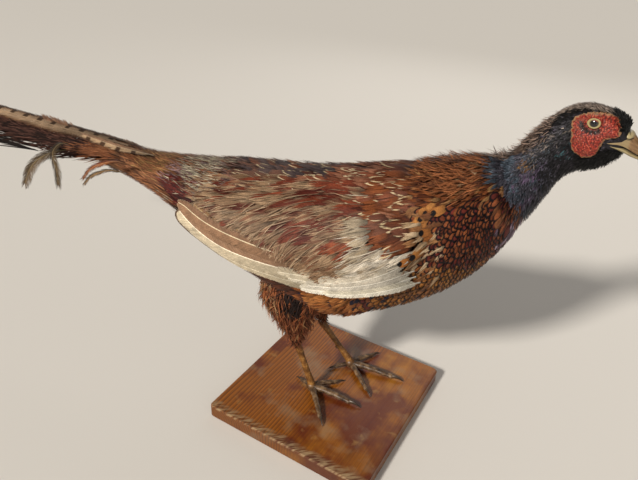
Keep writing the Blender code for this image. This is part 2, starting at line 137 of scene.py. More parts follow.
def new_finish(name):
    """A new material, and the one small function that adds shader nodes to it.

    `node("Math ADD", a, b)` adds a Math node set to ADD. Its inputs come in the order of its
    sockets, None for one that stays as it is, or by name in a dict. An input is a plain value, or
    another node's output, which is linked. `stops` are a ramp's places and colours, `out` is the
    output that comes back, and anything else is a setting of the node.
    """
    material = bpy.data.materials.new(name)
    material.use_nodes = True
    tree = material.node_tree
    tree.nodes.clear()

    def node(kind, *inputs, stops=(), out=0, **settings):
        kind, _, choice = kind.partition(" ")
        made = tree.nodes.new("ShaderNode" + kind)
        if choice:
            settings[CHOICE.get(kind, "operation")] = choice
        for key, value in settings.items():
            setattr(made, key, value)
        named = inputs[0] if inputs and isinstance(inputs[0], dict) else dict(enumerate(inputs))
        for key, value in named.items():
            if isinstance(value, bpy.types.NodeSocket):
                tree.links.new(value, made.inputs[key])
            elif value is not None:
                made.inputs[key].default_value = value
        if stops:
            ramp = made.color_ramp.elements
            while len(ramp) < len(stops):
                ramp.new(0.5)
            for element, (place, code) in zip(ramp, stops):
                element.position, element.color = place, rgba(code)
        return made.outputs[out] if made.outputs else None

    return material, node


def smooth(rows, at):
    """Catmull-Rom through the rows of a table at the places `at`, counted in rows."""
    rows = np.asarray(rows, float)
    last = len(rows) - 1
    at = np.clip(np.asarray(at, float), 0, last)
    i = np.minimum(at.astype(int), last - 1)
    t = (at - i)[..., None]
    wide = np.concatenate([[2 * rows[0] - rows[1]], rows, [2 * rows[-1] - rows[-2]]])
    a, b, c, d = (wide[i + k] for k in range(4))
    return (0.5 * (2 * b + (c - a) * t + (2 * a - 5 * b + 4 * c - d) * t ** 2
        + (3 * b - a - 3 * c + d) * t ** 3))


def ease(value, low, high):
    """0 below `low`, 1 above `high`, and a soft step between."""
    t = np.clip((value - low) / (high - low), 0, 1)
    return t * t * (3 - 2 * t)


def unit(vectors):
    return vectors / np.maximum(np.linalg.norm(vectors, axis=-1, keepdims=True), 1e-9)


# %% Meshes
def piece(name, points, faces, material, slot, replaced=(), uv=None, **values):
    """A mesh object from points in millimetres and blocks of faces with equal corner counts.

    `values` are numbers for each point that the material reads: one column is a float, three a
    vector and four a colour. `uv` is one place in the bake map for each point.
    """
    mesh = bpy.data.meshes.new(name)
    points = np.asarray(points, np.float64).reshape(-1, 3) * MM
    corners = np.concatenate([np.asarray(f, np.int64).reshape(-1) for f in faces])
    sizes = np.concatenate([np.full(len(f), np.shape(f)[1]) for f in faces])
    mesh.vertices.add(len(points))
    mesh.vertices.foreach_set("co", points.astype(np.float32).reshape(-1))
    mesh.loops.add(len(corners))
    mesh.loops.foreach_set("vertex_index", corners.astype(np.int32))
    mesh.polygons.add(len(sizes))
    mesh.polygons.foreach_set("loop_start", (np.cumsum(sizes) - sizes).astype(np.int32))
    mesh.update(calc_edges=True)
    mesh.polygons.foreach_set("use_smooth", np.ones(len(sizes), bool))
    if uv is not None:
        layer = mesh.uv_layers.new(name="OFBake")
        layer.data.foreach_set("uv", np.asarray(uv, np.float32)[corners].reshape(-1))
    for key, column in values.items():
        column = np.asarray(column, np.float32)
        width = 1 if column.ndim == 1 else column.shape[1]
        kind, field = {1: ("FLOAT", "value"), 3: ("FLOAT_VECTOR", "vector"),
            4: ("FLOAT_COLOR", "color")}[width]
        mesh.attributes.new(key, kind, "POINT").data.foreach_set(field, column.reshape(-1))
    mesh.materials.append(material)
    obj = bpy.data.objects.new(name, mesh)
    bpy.context.scene.collection.objects.link(obj)
    if slot:
        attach(obj, "root")
    if replaced:
        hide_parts(*replaced)
    return obj


def grid_faces(rows, columns, wraps=False, first=0):
    """Quads of a grid of points, closed round its columns if it wraps."""
    i, j = np.meshgrid(np.arange(rows - 1), np.arange(columns - (not wraps)), indexing="ij")
    k = (j + 1) % columns
    quad = np.stack([i * columns + j, i * columns + k, (i + 1) * columns + k, (i + 1) * columns + j], -1)
    return quad.reshape(-1, 4) + first


def fan(ring, tip):
    """Triangles from a closed ring of point numbers to one point."""
    ring = np.asarray(ring)
    return np.stack([ring, np.roll(ring, -1), np.full(len(ring), tip)], -1)


paint, node = new_finish("matt_wall_paint")
node("OutputMaterial", node("BsdfPrincipled", {"Base Color": rgba("d9d4cd"), "Roughness": 0.85}))
FLOOR_HALF = 9e3     # mm, so that its edge lies far behind the bird
floor = piece("floor",
    [(x * FLOOR_HALF, y * FLOOR_HALF, 0) for x, y in ((-1, -1), (1, -1), (1, 1), (-1, 1))],
    [[(0, 1, 2, 3)]], paint, None)
print("floor", floor.name)

# %% [markdown]
# ## The body as a surface to grow feathers on
#
# A mounted skin is drawn over a carved form. The form's outline is held as sections from the tail
# to the bill: the point on the back, the point on the keel, the half width, and how far up the
# section is widest. `Ground` turns such sections into a surface with two parameters, `a` down the
# lie of the feathers, from bill to tail, and `b` round the body, from the keel up the right side.
# A feather asked to lie 12 mm long at a place can then follow the body's curve.
# %% Body sections
BODY = np.array((
    (-264, 248, -262, 219, 18, 0.5), (-236, 243.5, -232, 213, 22, 0.5),
    (-212, 241.5, -203, 207.5, 30, 0.52), (-180, 243.5, -169, 195.5, 40, 0.52),
    (-145, 248, -127, 167, 50, 0.52), (-105, 255, -84, 141, 57, 0.52),
    (-60, 260, -40, 123, 61, 0.50), (-15, 267, 5, 115, 63, 0.50), (28, 277, 48, 137, 62, 0.50),
    (60, 286, 89, 163, 58, 0.50), (85, 293, 118, 189.5, 52, 0.50),
    (105, 299, 137, 215.5, 43, 0.50), (120, 303.5, 149.5, 241.5, 34, 0.48),
    (129, 305.5, 157, 260, 26, 0.47), (136.5, 313.5, 164, 277.3, 21, 0.47),
    (144, 324.5, 169.5, 292, 19, 0.48), (153.5, 337, 177, 301.5, 18.0, 0.50),
    (163, 348, 186, 307.5, 17.8, 0.52), (176, 353.8, 194, 311.5, 17.0, 0.54),
    (190, 353, 200.5, 317.5, 14.8, 0.55), (200, 349.3, 205, 323.5, 11.8, 0.52),
    (206.5, 344.5, 207, 329, 8.5, 0.50)))
HEAD_TURN, TURN_FROM, TURN_TO = math.radians(10.0), 95.0, 165.0
HEAD_ROW = len(BODY) - 1
turn_x = np.linspace(TURN_FROM, 245.0, 601)
turn_angle = HEAD_TURN * ease(turn_x, TURN_FROM, TURN_TO)
turn_shift = -np.cumsum(np.tan(turn_angle)) * (turn_x[1] - turn_x[0])


def turned(points):
    """The neck's bend: ahead of TURN_FROM the middle plane swings to the bird's right."""
    points = np.asarray(points, float)
    x, y, z = points[..., 0], points[..., 1], points[..., 2]
    angle = HEAD_TURN * ease(x, TURN_FROM, TURN_TO)
    shift = np.interp(x, turn_x, turn_shift, left=0.0)
    return np.stack([x + y * np.sin(angle), shift + y * np.cos(angle), z], -1)


def sections(table, at, b):
    """Points of the closed sections at the places `at`, at each share `b` of the way round."""
    xt, zt, xb, zb, half, widest = np.moveaxis(smooth(table, at), -1, 0)
    length = np.hypot(xt - xb, zt - zb)
    up = np.stack([(xt - xb) / length, (zt - zb) / length], -1)
    c, s = -np.sin(2 * np.pi * b), -np.cos(2 * np.pi * b)
    tall = np.where(s > 0, length * (1 - widest), length * widest) * s + length * widest
    return np.stack([xb + up[..., 0] * tall, half * c, zb + up[..., 1] * tall], -1)


class Ground:
    """A surface that feathers grow on: a grid over a (down the lie) and b (across it)."""

    def __init__(self, points, wraps, outward, home=(0.01, 0.80)):
        self.home = home
        da = np.gradient(points, axis=0)
        if wraps:
            db = (np.roll(points, -1, 1) - np.roll(points, 1, 1)) / 2
        else:
            db = np.gradient(points, axis=1)
        normal = unit(np.cross(da, db))
        normal *= np.sign((normal * outward).sum(-1, keepdims=True))
        self.rows, self.columns = points.shape[0] - 1, points.shape[1] - (not wraps)
        self.wraps = wraps
        self.table = np.concatenate([
            points, normal, np.linalg.norm(da, axis=-1, keepdims=True) * self.rows,
            np.linalg.norm(db, axis=-1, keepdims=True) * self.columns], -1)

    def at(self, a, b):
        """Points, normals, and millimetres for each whole unit of a and of b."""
        i = np.clip((a * self.rows).astype(int), 0, self.rows - 1)
        s = (a * self.rows - i)[..., None]
        if self.wraps:
            b = np.mod(b, 1.0) * self.columns
            j = np.minimum(b.astype(int), self.columns - 1)
            k = (j + 1) % self.columns
        else:
            b = b * self.columns
            j = np.clip(b.astype(int), 0, self.columns - 1)
            k = j + 1
        t = (b - j)[..., None]
        grid = self.table
        mixed = ((grid[i, j] * (1 - t) + grid[i, k] * t) * (1 - s)
            + (grid[i + 1, j] * (1 - t) + grid[i + 1, k] * t) * s)
        return mixed[..., :3], unit(mixed[..., 3:6]), mixed[..., 6], mixed[..., 7]


BODY_DOWN, BODY_ROUND = 481, 360     # points of the body's grid, and the first half is the right side
grid_a, grid_b = np.meshgrid(np.linspace(0, 1, BODY_DOWN), np.arange(BODY_ROUND) / BODY_ROUND,
    indexing="ij")
straight = sections(BODY, (1 - grid_a) * HEAD_ROW, grid_b)
middle = straight.mean(1, keepdims=True)
body = Ground(turned(straight), True, turned(straight) - turned(middle))
straight_faces = grid_faces(BODY_DOWN, BODY_ROUND, True)
side_tree = BVHTree.FromPolygons([Vector(p) for p in straight.reshape(-1, 3)],
    [tuple(f) for f in straight_faces.tolist()])
print("body grid", straight.shape[:2], "length", round(float(np.ptp(straight[..., 0]))), "mm")


def row_of(a):
    """The place in BODY of the parameter a."""
    return (1 - a) * HEAD_ROW


COAT_ROWS = (0, 3, 7, 11, 13, 15, 17, 21)
COAT_DEEP = (3.0, 3.8, 4.6, 4.2, 3.0, 1.8, 1.1, 0.8)


def coat_depth(a):
    """How far the skin lies under the tips of the feathers, in mm."""
    return np.interp(row_of(a), COAT_ROWS, COAT_DEEP)


# %% [markdown]
# ## How one feather is made
#
# Particle hair would be the quick way, but it vanishes when a model is exported. So each feather
# is real mesh: a handful of narrow blades side by side, each a little shorter or longer than its
# neighbour, which together make a rounded, slightly frayed vane. Every blade carries numbers for
# the material: how far across and along the vane a point is, how far it is from the edge, and the
# colours of the ground, the border and the mark. A hair-like plume is the same thing with one
# blade. Roots lie deep and tips lie high, so each row covers the roots of the row behind it, as
# tiles do.
# %% Feathers from blades
PATCH = 0.003    # one feather's patch on the unwrap of the skin


def scatter_map(ground, a, b):
    """Where a root lies on the unwrap of the skin: the body has most of it, each thigh a strip."""
    start, width = ground.home
    return np.stack([start + width * b, 0.01 + 0.98 * np.clip(a, 0, 1)], -1)


def lay(ground, a, b, length, width, low, high, tint, seed, turn=0.0, blades=6, cuts=4, blunt=0.35,
        fray=0.12, wander=0.0, bend=0.0, camber=0.05, curl=0.0, shade=0.12, ends=0.25, lock=1):
    """Feathers rooted at (a, b). `low` and `high` are the heights of root and tip in mm, `turn` the
    angle from the lie, `blunt` how much shorter the outer blades are, `wander` and `fray` how
    ragged they are, `bend` the swerve from root to tip and `curl` the lift of the last third.
    `ends` is the share of a blade that tapers to its point, and `lock` the blades that cling
    together where a worn vane has split.
    """
    rng = np.random.default_rng(seed)
    n = len(a)
    spread = [np.broadcast_to(np.asarray(v, float), (n,))[:, None, None]
        for v in (length, width, low, high, turn, bend, curl, wander)]
    length, width, low, high, turn, bend, curl, wander = spread
    station = np.append(np.repeat(np.linspace(0, 1 - ends, cuts), 2), 1.0)
    side = np.append(np.tile([-1.0, 1.0], cuts), 0.0)
    middle = (np.arange(blades) + 0.5) / blades * 2 - 1 if blades > 1 else np.zeros(1)
    start = rng.integers(0, lock, (n, 1))
    group = (np.arange(blades) + start) // lock
    groups = blades // lock + 2

    def shared(kind, size):
        """One random number for each lock, handed to its blades."""
        return np.take_along_axis(kind(size=(n, groups)) * size, group, 1)

    fraying = (fray * (rng.random((n, blades)) if lock == 1 else 0.3 * rng.random((n, blades))
        + shared(rng.random, 0.7)))
    reach = (1 - blunt * np.abs(middle) ** 2.2) * (1 - fraying)
    u = station * reach[..., None]
    drift = shared(rng.normal, 1.0)[..., None] * wander * u ** 2
    full = np.minimum(1, 0.35 + 1.7 * u) * (1 - 0.2 * u ** 3)
    blade = np.interp(station, [0, 0.3, 1 - ends, 1], [0.7, 1.0, 0.8, 0.0]) * 1.3 / blades
    centre = (group * lock - start + lock / 2) / blades * 2 - 1
    pull = 0.0 if lock == 1 else 0.55
    s = (middle[:, None] + (centre - middle)[..., None] * pull * u ** 2) * full + drift + side * blade
    x, y = u * length, s * width / 2
    path = turn + bend * u / 2
    over = x * np.cos(path) - y * np.sin(turn + bend * u)
    out = x * np.sin(path) + y * np.cos(turn + bend * u)
    root, _, la, lb = ground.at(a, b)
    where, normal, _, _ = ground.at(a[:, None, None] + over / la[:, None, None],
        b[:, None, None] + out / lb[:, None, None])
    height = (low + (high - low) * u + curl * ease(u, 0.45, 1.1) - camber * width * s ** 2
        + rng.normal(0, 0.10, (n, blades, 1)) + shared(rng.normal, 0.2)[..., None] * u * (lock > 1))
    points = where + normal * height[..., None]
    edge = np.minimum((1 - blunt * np.abs(s) ** 2.2 - u) * length, (1 - np.abs(s)) * width * 0.8)
    vane = np.stack([np.clip(s, -1.2, 1.2), u, np.maximum(edge, 0)], -1)
    home = scatter_map(ground, a, np.mod(b, 1.0))[:, None, None, :]
    uv = home + np.stack([np.clip(s, -1, 1) * 0.5, u - 0.5], -1) * PATCH
    size = 2 * cuts + 1
    first = (np.arange(n * blades) * size)[:, None, None]
    quad = np.array([[2 * i, 2 * i + 1, 2 * i + 3, 2 * i + 2] for i in range(cuts - 1)])
    tri = np.array([[2 * cuts - 2, 2 * cuts - 1, 2 * cuts]])
    tone = 1 + rng.normal(0, shade, (n, blades, 1, 1))

    def each(value, scale=None):
        column = np.broadcast_to(value[:, None, None, :], (n, blades, size, value.shape[-1]))
        if scale is not None:
            column = np.concatenate([column[..., :3] * scale, column[..., 3:]], -1)
        return column.reshape(-1, value.shape[-1])

    return dict(points=points.reshape(-1, 3),
        faces=[(quad + first).reshape(-1, 4), (tri + first).reshape(-1, 3)], uv=uv.reshape(-1, 2),
        vane=vane.reshape(-1, 3), ground_tint=each(tint["ground"], tone), edge_tint=each(tint["edge"]),
        mark_tint=each(tint["mark"]), marks=each(tint["marks"]))


def gather(name, batches, material, slot, replaced=()):
    """Several batches of feathers as one piece."""
    first, quads, tris = 0, [], []
    for batch in batches:
        quads.append(batch["faces"][0] + first)
        tris.append(batch["faces"][1] + first)
        first += len(batch["points"])
    join = {key: np.concatenate([batch[key] for batch in batches])
        for key in ("points", "uv", "vane", "ground_tint", "edge_tint", "mark_tint", "marks")}
    quads, tris = np.concatenate(quads), np.concatenate(tris)
    print(name, "triangles", 2 * len(quads) + len(tris))
    return piece(name, join.pop("points"), [quads, tris], material, slot, replaced, **join)


def roots(ground, along, across, seed, span=(0.0, 1.0), jitter=0.22):
    """Staggered rows of roots: a, b and the local row spacing. `along` and `across` are mm, given a."""
    rng = np.random.default_rng(seed)
    ring = np.linspace(0, 1, 181)
    found, a, odd = [], span[0], 0
    while a < span[1]:
        _, _, la, lb = ground.at(np.full(181, a), ring)
        arc = np.append(0, np.cumsum((lb[1:] + lb[:-1]) / 2) / 180)
        count = max(4, int(arc[-1] / across(a)))
        step = arc[-1] / count
        place = (np.arange(count) + 0.5 * odd + rng.normal(0, jitter * 0.5, count)) * step
        b = np.interp(np.mod(place, arc[-1]), arc, ring)
        advance = along(a) / float(la.mean())
        run = advance * ground.at(np.full(count, a), b)[2]
        found.append(np.stack([a + rng.normal(0, jitter * 0.35, count) * advance, b, run], -1))
        a += advance
        odd = 1 - odd
    return np.concatenate(found).T


# %% [markdown]
# ## The plumage finish
#
# A feather is keratin: a matt, slightly silky fibre with no metal in it. Brown and chestnut come
# from pigment. The neck's violet and blue come from thin layers in the barbs; a thin film in the
# shader could make them, but it turns yellow where the lamps graze, so here they are colour too.
# One finish draws every marking from the numbers the blades carry: a dark border along the vane's
# edge, a cream horseshoe, a streak down the shaft, a spot near the tip, or bars. Two noises break
# it up, one about 0.6 mm fine for the barbs, and one about 9 mm for worn and dusty places.
# %% Plumage finish
def plumage(name, roughness, sheen):
    material, node = new_finish(name)
    s, u, edge = node("SeparateXYZ", node("Attribute", attribute_name="vane", out="Vector"),
        out=slice(0, 3))
    ground, rim, mark, kinds = (node("Attribute", attribute_name=key, out=slice(0, 4))
        for key in ("ground_tint", "edge_tint", "mark_tint", "marks"))
    place = node("TexCoord", out="Object")
    barbs = node("TexNoise", place, None, 1600.0, 1.0)
    worn = node("TexNoise", place, None, 110.0, 2.0)
    uneven = node("Math SUBTRACT", barbs, 0.5)
    across = node("Math ABSOLUTE", s)
    # the border, as wide as the feather says, with a ragged inner line
    ragged = node("Math ADD", edge, node("Math MULTIPLY", uneven, 0.9))
    ragged = node("Math DIVIDE", ragged, node("Math MAXIMUM", ground[3], 0.05))
    border = node("Math MULTIPLY", node("MapRange SMOOTHSTEP", ragged, 0.55, 1.15, 1.0, 0.0), rim[3])
    # the horseshoe, an oval line that is left out of the half near the root
    below = node("Math DIVIDE", node("Math MAXIMUM", node("Math SUBTRACT", u, 0.5), 0.0), 0.34)
    bow = node("CombineXYZ", below, node("Math DIVIDE", across, 0.46))
    bow = node("Math SUBTRACT", node("VectorMath LENGTH", bow, out="Value"), 1.0)
    horseshoe = node("MapRange SMOOTHSTEP", node("Math ABSOLUTE", bow), 0.06, 0.20, 1.0, 0.0)
    horseshoe = node("Math MULTIPLY", horseshoe, node("MapRange SMOOTHSTEP", u, 0.42, 0.56))
    horseshoe = node("Math MULTIPLY", horseshoe, node("MapRange SMOOTHSTEP", barbs, 0.2, 0.45, 0.5, 1.0))
    # the streak down the shaft, and the spot near the tip
    streak = node("MapRange SMOOTHSTEP", across, 0.16, 0.42, 1.0, 0.0)
    spot = node("CombineXYZ", node("Math DIVIDE", node("Math SUBTRACT", u, 0.80), 0.16),
        node("Math DIVIDE", s, 0.62))
    spot = node("VectorMath DOT_PRODUCT", spot, spot, out="Value")
    spot = node("MapRange SMOOTHSTEP", spot, 0.6, 1.3, 1.0, 0.0)
    # cross bars on the outer vane, as many as the feather says
    wave = node("Math MULTIPLY", u, node("Math MULTIPLY", kinds[3], 2 * math.pi))
    wave = node("Math ADD", wave, node("Math MULTIPLY", node("Math SUBTRACT", worn, 0.5), 1.6))
    wave = node("Math ADD", node("Math SINE", wave), node("Math MULTIPLY", uneven, 0.7))
    bars = node("Math MULTIPLY", node("MapRange SMOOTHSTEP", wave, 0.45, 0.75),
        node("MapRange SMOOTHSTEP", s, -0.05, 0.3, 1.0, 0.0))
    marked = node("Math MULTIPLY", bars, node("Math GREATER_THAN", kinds[3], 0.5))
    amounts = node("SeparateColor", kinds[0], out=slice(0, 3))
    for shape, amount in zip((horseshoe, streak, spot), amounts):
        marked = node("Math MAXIMUM", marked, node("Math MULTIPLY", shape, amount))
    marked = node("Math MULTIPLY", marked, mark[3])
    colour = ground[0]
    for amount, coat in ((border, rim[0]), (marked, mark[0])):
        colour = node("Mix RGBA", {0: amount, 6: colour, 7: coat}, out=2)
    # darker at the root, partly the duller base of a real feather and partly painted shade where it
    # lies under the feathers over it, and lighter and darker barbs and worn places
    light = node("MapRange SMOOTHSTEP", u, 0.0, 0.65, 0.32, 1.05)
    for noise, low, high in ((barbs, 0.74, 1.20), (worn, 0.84, 1.12)):
        light = node("Math MULTIPLY", light, node("MapRange SMOOTHSTEP", noise, 0.3, 0.7, low, high))
    node("OutputMaterial",
        node("BsdfPrincipled", {"Base Color": node("VectorMath SCALE", {0: colour, "Scale": light}),
        "Roughness": roughness, "Specular IOR Level": 0.20, "Sheen Weight": sheen,
        "Sheen Roughness": 0.4}))
    return material


trunk_down = plumage("contour_feathers", 0.64, 0.05)
head_down = plumage("neck_feathers", 0.52, 0.05)
rump_down = plumage("rump_plumes", 0.66, 0.10)
wing_down = plumage("wing_feathers", 0.58, 0.08)
tail_down = plumage("tail_feathers", 0.55, 0.06)
thigh_down = plumage("thigh_plumes", 0.70, 0.10)
print("plumage finishes", 6)

# %% [markdown]
# ## Where each colour grows
#
# A cock pheasant changes feather by feather: violet-black neck, copper breast with black edges,
# orange mantle, chestnut back with cream horseshoes, grey-green and rusty rump. Painting this as a
# picture would slide over the feathers, so each feather looks up its own colours by where its root
# is. A zone is a soft mask; a feather in the soft edge belongs to one side or the other by chance,
# which is how real tracts mix. Colours are given as a dark and a light, and each feather draws
# its own between them.
# %% Colour zones
def wobble(x, z, size=3.0):
    """An uneven push of a zone's border, in mm, so that no border runs straight."""
    return size * (np.sin(x * 0.21 + z * 0.13) + 0.7 * np.sin(z * 0.37 - x * 0.11 + 1.0))


def blank_tint(shape):
    return {key: np.zeros((*shape, 4)) for key in ("ground", "edge", "mark", "marks")}


def palette(n, rng):
    """Blank colours for n feathers, and the function that dyes them, one coat over another."""
    tint = blank_tint((n,))

    def dye(mask, ground, edge=None, edge_mm=1.0, edge_on=1.0, mark=None, marks=None, mark_share=1.0):
        """Colours the masked feathers. `mask` is each one's chance, and a pair of colours is its
        darkest and lightest. The edge is `edge_mm` wide, and a share of the feathers gets marks.
        """
        hit = rng.random(n) < mask
        mix = rng.random(n)[:, None]

        def tone(pair):
            dark, light = (srgb(code) for code in pair.split())
            return dark * (1 - mix) + light * mix

        for key in ("edge", "mark", "marks"):
            tint[key][hit] = 0.0
        tint["ground"][hit, :3] = tone(ground)[hit]
        tint["ground"][hit, 3] = edge_mm
        if edge:
            tint["edge"][hit, :3] = tone(edge)[hit]
            tint["edge"][hit, 3] = edge_on
        if mark:
            some = hit & (rng.random(n) < mark_share)
            tint["mark"][some, :3] = tone(mark)[some]
            tint["mark"][some, 3] = 1.0
            tint["marks"][some] = marks

    return tint, dye


def round_up(b):
    """How far up the side a place is: 0 at the keel, 1 on the back."""
    return 2 * np.minimum(b, 1 - b)


print("colours a feather carries", list(blank_tint((1,))))

# %% [markdown]
# The zones follow each other from the tail to the bill, each laid over the ones before it. A pair
# of colours is a feather's darkest and lightest; the second pair is its edge, then come the edge's
# width in mm and its strength, and then a mark, its shape and the share of feathers that have it.
# %% Colours of the trunk
HORSESHOE, STREAK, SPOT = (1, 0, 0, 0), (0, 1, 0, 0), (0, 0, 1, 0)
FLANK_BAR = 12.5     # mm from one dark bar of the flank to the next


def mantle_line(x):
    """How high on the side the streaked mantle meets the scaled breast."""
    return np.interp(x, (60, 80, 95, 126, 140), (268, 268, 271, 281, 290))


def nape_edge(x):
    """How far up the neck's side the shabby brown nape comes down, on the scale of `back`."""
    return np.interp(x, (118, 130, 136, 140, 146, 150, 156, 162),
        (0.96, 0.92, 0.87, 0.80, 0.72, 0.74, 0.78, 0.84))


def past_collar(x, z):
    """How many mm a side-view place lies past the line where the dark neck begins."""
    return (x - 123) * 0.70 + (z - 300) * 0.72


def breast_place(x, z):
    """x on the breast, counted along lines that slant forward as they run down."""
    return x + 0.35 * (250 - z)


def dye_hind(dye, x, z, back, wob):
    """Rump, tail coverts, belly and back."""
    dye(ease(-x + wob, 92, 112), "5a3722 835637", "42210f 5c3018", 1.0, 0.4)
    grey = ease(-x + wob, 96, 118) * ease(back, 0.35, 0.5) * (1 - ease(-x + 1.5 * wob, 146, 172))
    dye(grey * 0.85, "7e7662 b0a890", "6a5446 8c7462", 0.9, 0.4)
    dye(grey * 0.22, "58413e 77605e", "3c2a2a 52403e", 0.9, 0.5)
    dye(ease(-x + wob, 150, 172), "64381f 946442", "34190d 4c2616", 0.9, 0.4)
    dye(ease(12 - np.hypot((x + 158) * 0.8, z - 236), 0, 6) * 0.6, "5c4442 7d6462")
    olive = ease(-x, 160, 176) * (1 - ease(-x, 205, 220)) * (1 - ease(np.abs(z - 243), 8, 16))
    dye(olive * 0.45, "6c4e30 9a7648", "54381c 7a5c34", 0.8, 0.4)
    dye(ease(-x, 215, 240), "4e301c 7a5636", "33190b 4a2a18", 1.0, 0.4)
    dye(ease(11.5 - np.hypot((x + 146) / 1.4, z - 226) / 1.5, 0, 6) * 0.95, "300905 5a180f")
    # belly and flank
    dye(ease(x, -110, -80) * (1 - ease(back, 0.16, 0.3)), "2a1810 452718")
    strip = ease(x, -20, 0) * ease(back, 0.10, 0.16) * (1 - ease(back, 0.42, 0.5))
    dye(strip, "84481f b87840", "42200f 5c3018", 0.8, 0.5)
    # back
    dye(ease(x + wob, -112, -92) * ease(back, 0.5, 0.6) * (1 - ease(x, 60, 75)), "55362a 74503f",
        "4a3a3a 655252", 1.6, 0.7, "9a886c bca98a", HORSESHOE, 0.35)


def dye_front(dye, x, z, back, wob):
    """Breast, flank and mantle."""
    front = ease(breast_place(x, z) + wob, 72, 84)
    dye(front, "5c2a19 945430", "080405 150a0b", 2.2, 1.0)
    dye(front * 0.30, "481a16 6e2c22", "0a0608 1c1014", 2.4, 1.0)
    low = ease(x + 0.2 * (250 - z), 60, 80) * ease(232 + wob - z, 0, 14)
    dye(low, "7c441e b47838", "0a0504 1c100a", 2.4, 0.95)
    bars = ease(np.cos(2 * np.pi * (x - 8) / FLANK_BAR), 0.1, 0.7)
    bars = bars * ease(x, -20, 0) * (1 - ease(x, 88, 100)) * ease(back, 0.08, 0.14) * ease(192 - z, 0, 6)
    dye(bars * 0.75, "84481f b87840", "42200f 5c3018", 0.8, 0.5, "12111e 1e1a2a", SPOT)
    dye(front * ease(11 - np.abs(breast_place(x, z) - 84 - wob), 0, 5) * ease(z, 200, 212),
        "80481f b07840", "3c2012 5c3820", 1.0, 0.6, "120b0a 1c1412", SPOT, 0.12)
    dye(ease(12 - np.hypot(x - 150, (z - 255) * 0.8), 0, 6) * 0.5, "523c4a 806a7a",
        "2c1c26 443038", 2.0, 0.9, "8a7486 bca8b8", STREAK, 0.5)
    # mantle
    mantle = ease(x + wob, 58, 70) * ease(z - mantle_line(x) + 0.5 * wob, -4, 4)
    dye(mantle, "4c2210 8c502a", "24110a 442412", 0.9, 0.55, "140b08 24140c", STREAK, 0.35)
    dye(mantle * 0.22, "744c30 9c7448", "4a2814 6a4426", 0.7, 0.4)
    dye(mantle * ease(x, 98, 110) * ease(back, 0.72, 0.88) * 0.6, "5c4430 94775a",
        "382418 5c4430", 0.7, 0.4)


# %% Colours of the neck and head
def dye_neck(dye, x, z, back):
    """The collar's edge, the neck's blues and violets, and the shabby brown nape. The blues and
    violets and the pale edges on them are painted sheen: the barbs' iridescence given as colour.
    """
    dark = past_collar(x, z) + wobble(x, z, 2.0)
    near = ease(dark, -15, -3) * ease(x, 80, 92) * ease(285 - z, 0, 15)
    dye(near * 0.5, "54301c 7a4a2c", "0e0808 1a100e", 1.0, 0.9)
    neck = ease(dark + 2 * ease(z, 280, 300), -2, 1)
    # painted sheen: the pale edges and the blue and violet patches below stand for the iridescent sheen of
    # the neck's barbs
    dye(neck, "25242a 484650", "504d5a 8a8590", 0.6, 0.65)
    dye(neck * ease(0.7 + 0.5 * np.sin(x * 0.33 + z * 0.21), 0.35, 0.8) * (1 - ease(x, 160, 172)),
        "262c34 4e5864", "5c6672 98a2ae", 0.6, 0.65)
    dye(neck * ease(np.sin(x * 0.27 - z * 0.24 + 2), 0.0, 0.6) * ease(x, 138, 148)
        * (1 - ease(x, 158, 170)), "3a2f3e 625468", "6c5f78 a092aa", 0.6, 0.65)
    dye(neck * ease(12 - np.hypot(x - 156, z - 300), 0, 8) * 0.6, "3e3042 685670",
        "74627e aa98b2", 0.6, 0.7)
    gold = ease(7 - np.hypot((x - 147) * 0.9, z - 309), 0, 4)
    dye(gold, "483020 7c5c3a", "2c1e16 443022", 0.8, 0.4)
    nape = ease(x, 116, 122) * ease(back - nape_edge(x), -0.01, 0.02) * (1 - ease(x, 154, 160))
    dye(nape, "3a2d28 725f52", "241a18 3a2c26", 0.6, 0.5)


def dye_head(dye, x, z, back):
    """Black sides, a brown-grey crown, and a black band between them."""
    dye(ease(x, 154, 164) + ease(x, 194, 198), "1a181b 403b42", "464249 7c757e", 0.5, 0.6)
    dye(ease(8 - np.hypot(x - 170, z - 323), 0, 5) * 0.5, "1c2a2e 34545a", "46626a 7e989c", 0.5, 0.6)
    dye(ease(6 - np.hypot((x - 169) * 1.3, z - 338), 0, 4) * 0.35, "6a5a4c a8998a")
    centre = np.interp(x, (150, 158, 164, 169, 172.5, 177, 183, 190),
        (0.86, 0.84, 0.82, 0.80, 0.84, 0.89, 0.96, 1.1))
    crown = ease(back - np.where(x < 172, centre + 0.03, 0.85), 0, 0.03)
    crown = crown * ease(x, 150, 157) * (1 - ease(x, 196, 200))
    dye(crown, "5a4b40 9a8878", "241b16 3a2e26", 0.5, 0.6, "1c1511 2c231d", STREAK, 0.35)
    band = ease(0.045 - np.abs(back - centre), 0, 0.02) * ease(x, 152, 160)
    dye(band, "0b0a0a 181514", "181616 2a2624", 0.5, 0.5)


def body_tint(a, b, p, seed):
    """The colours of the body's feathers by their place."""
    tint, dye = palette(len(a), np.random.default_rng(seed))
    x, z, back = p[:, 0], p[:, 2], round_up(b)
    wob = wobble(x, z)
    dye(1, "3a2015 5c3220", "1c110c 2a1a12", 1.0, 0.7)
    dye_hind(dye, x, z, back, wob)
    dye_front(dye, x, z, back, wob)
    dye_neck(dye, x, z, back)
    dye_head(dye, x, z, back)
    return tint


thin = np.s_[::40, ::40]
sample = body_tint(grid_a[thin].ravel(), grid_b[thin].ravel(), body.table[thin][..., :3].reshape(-1, 3), 1)
print("mean body colour", sample["ground"][:, :3].mean(0).round(3))

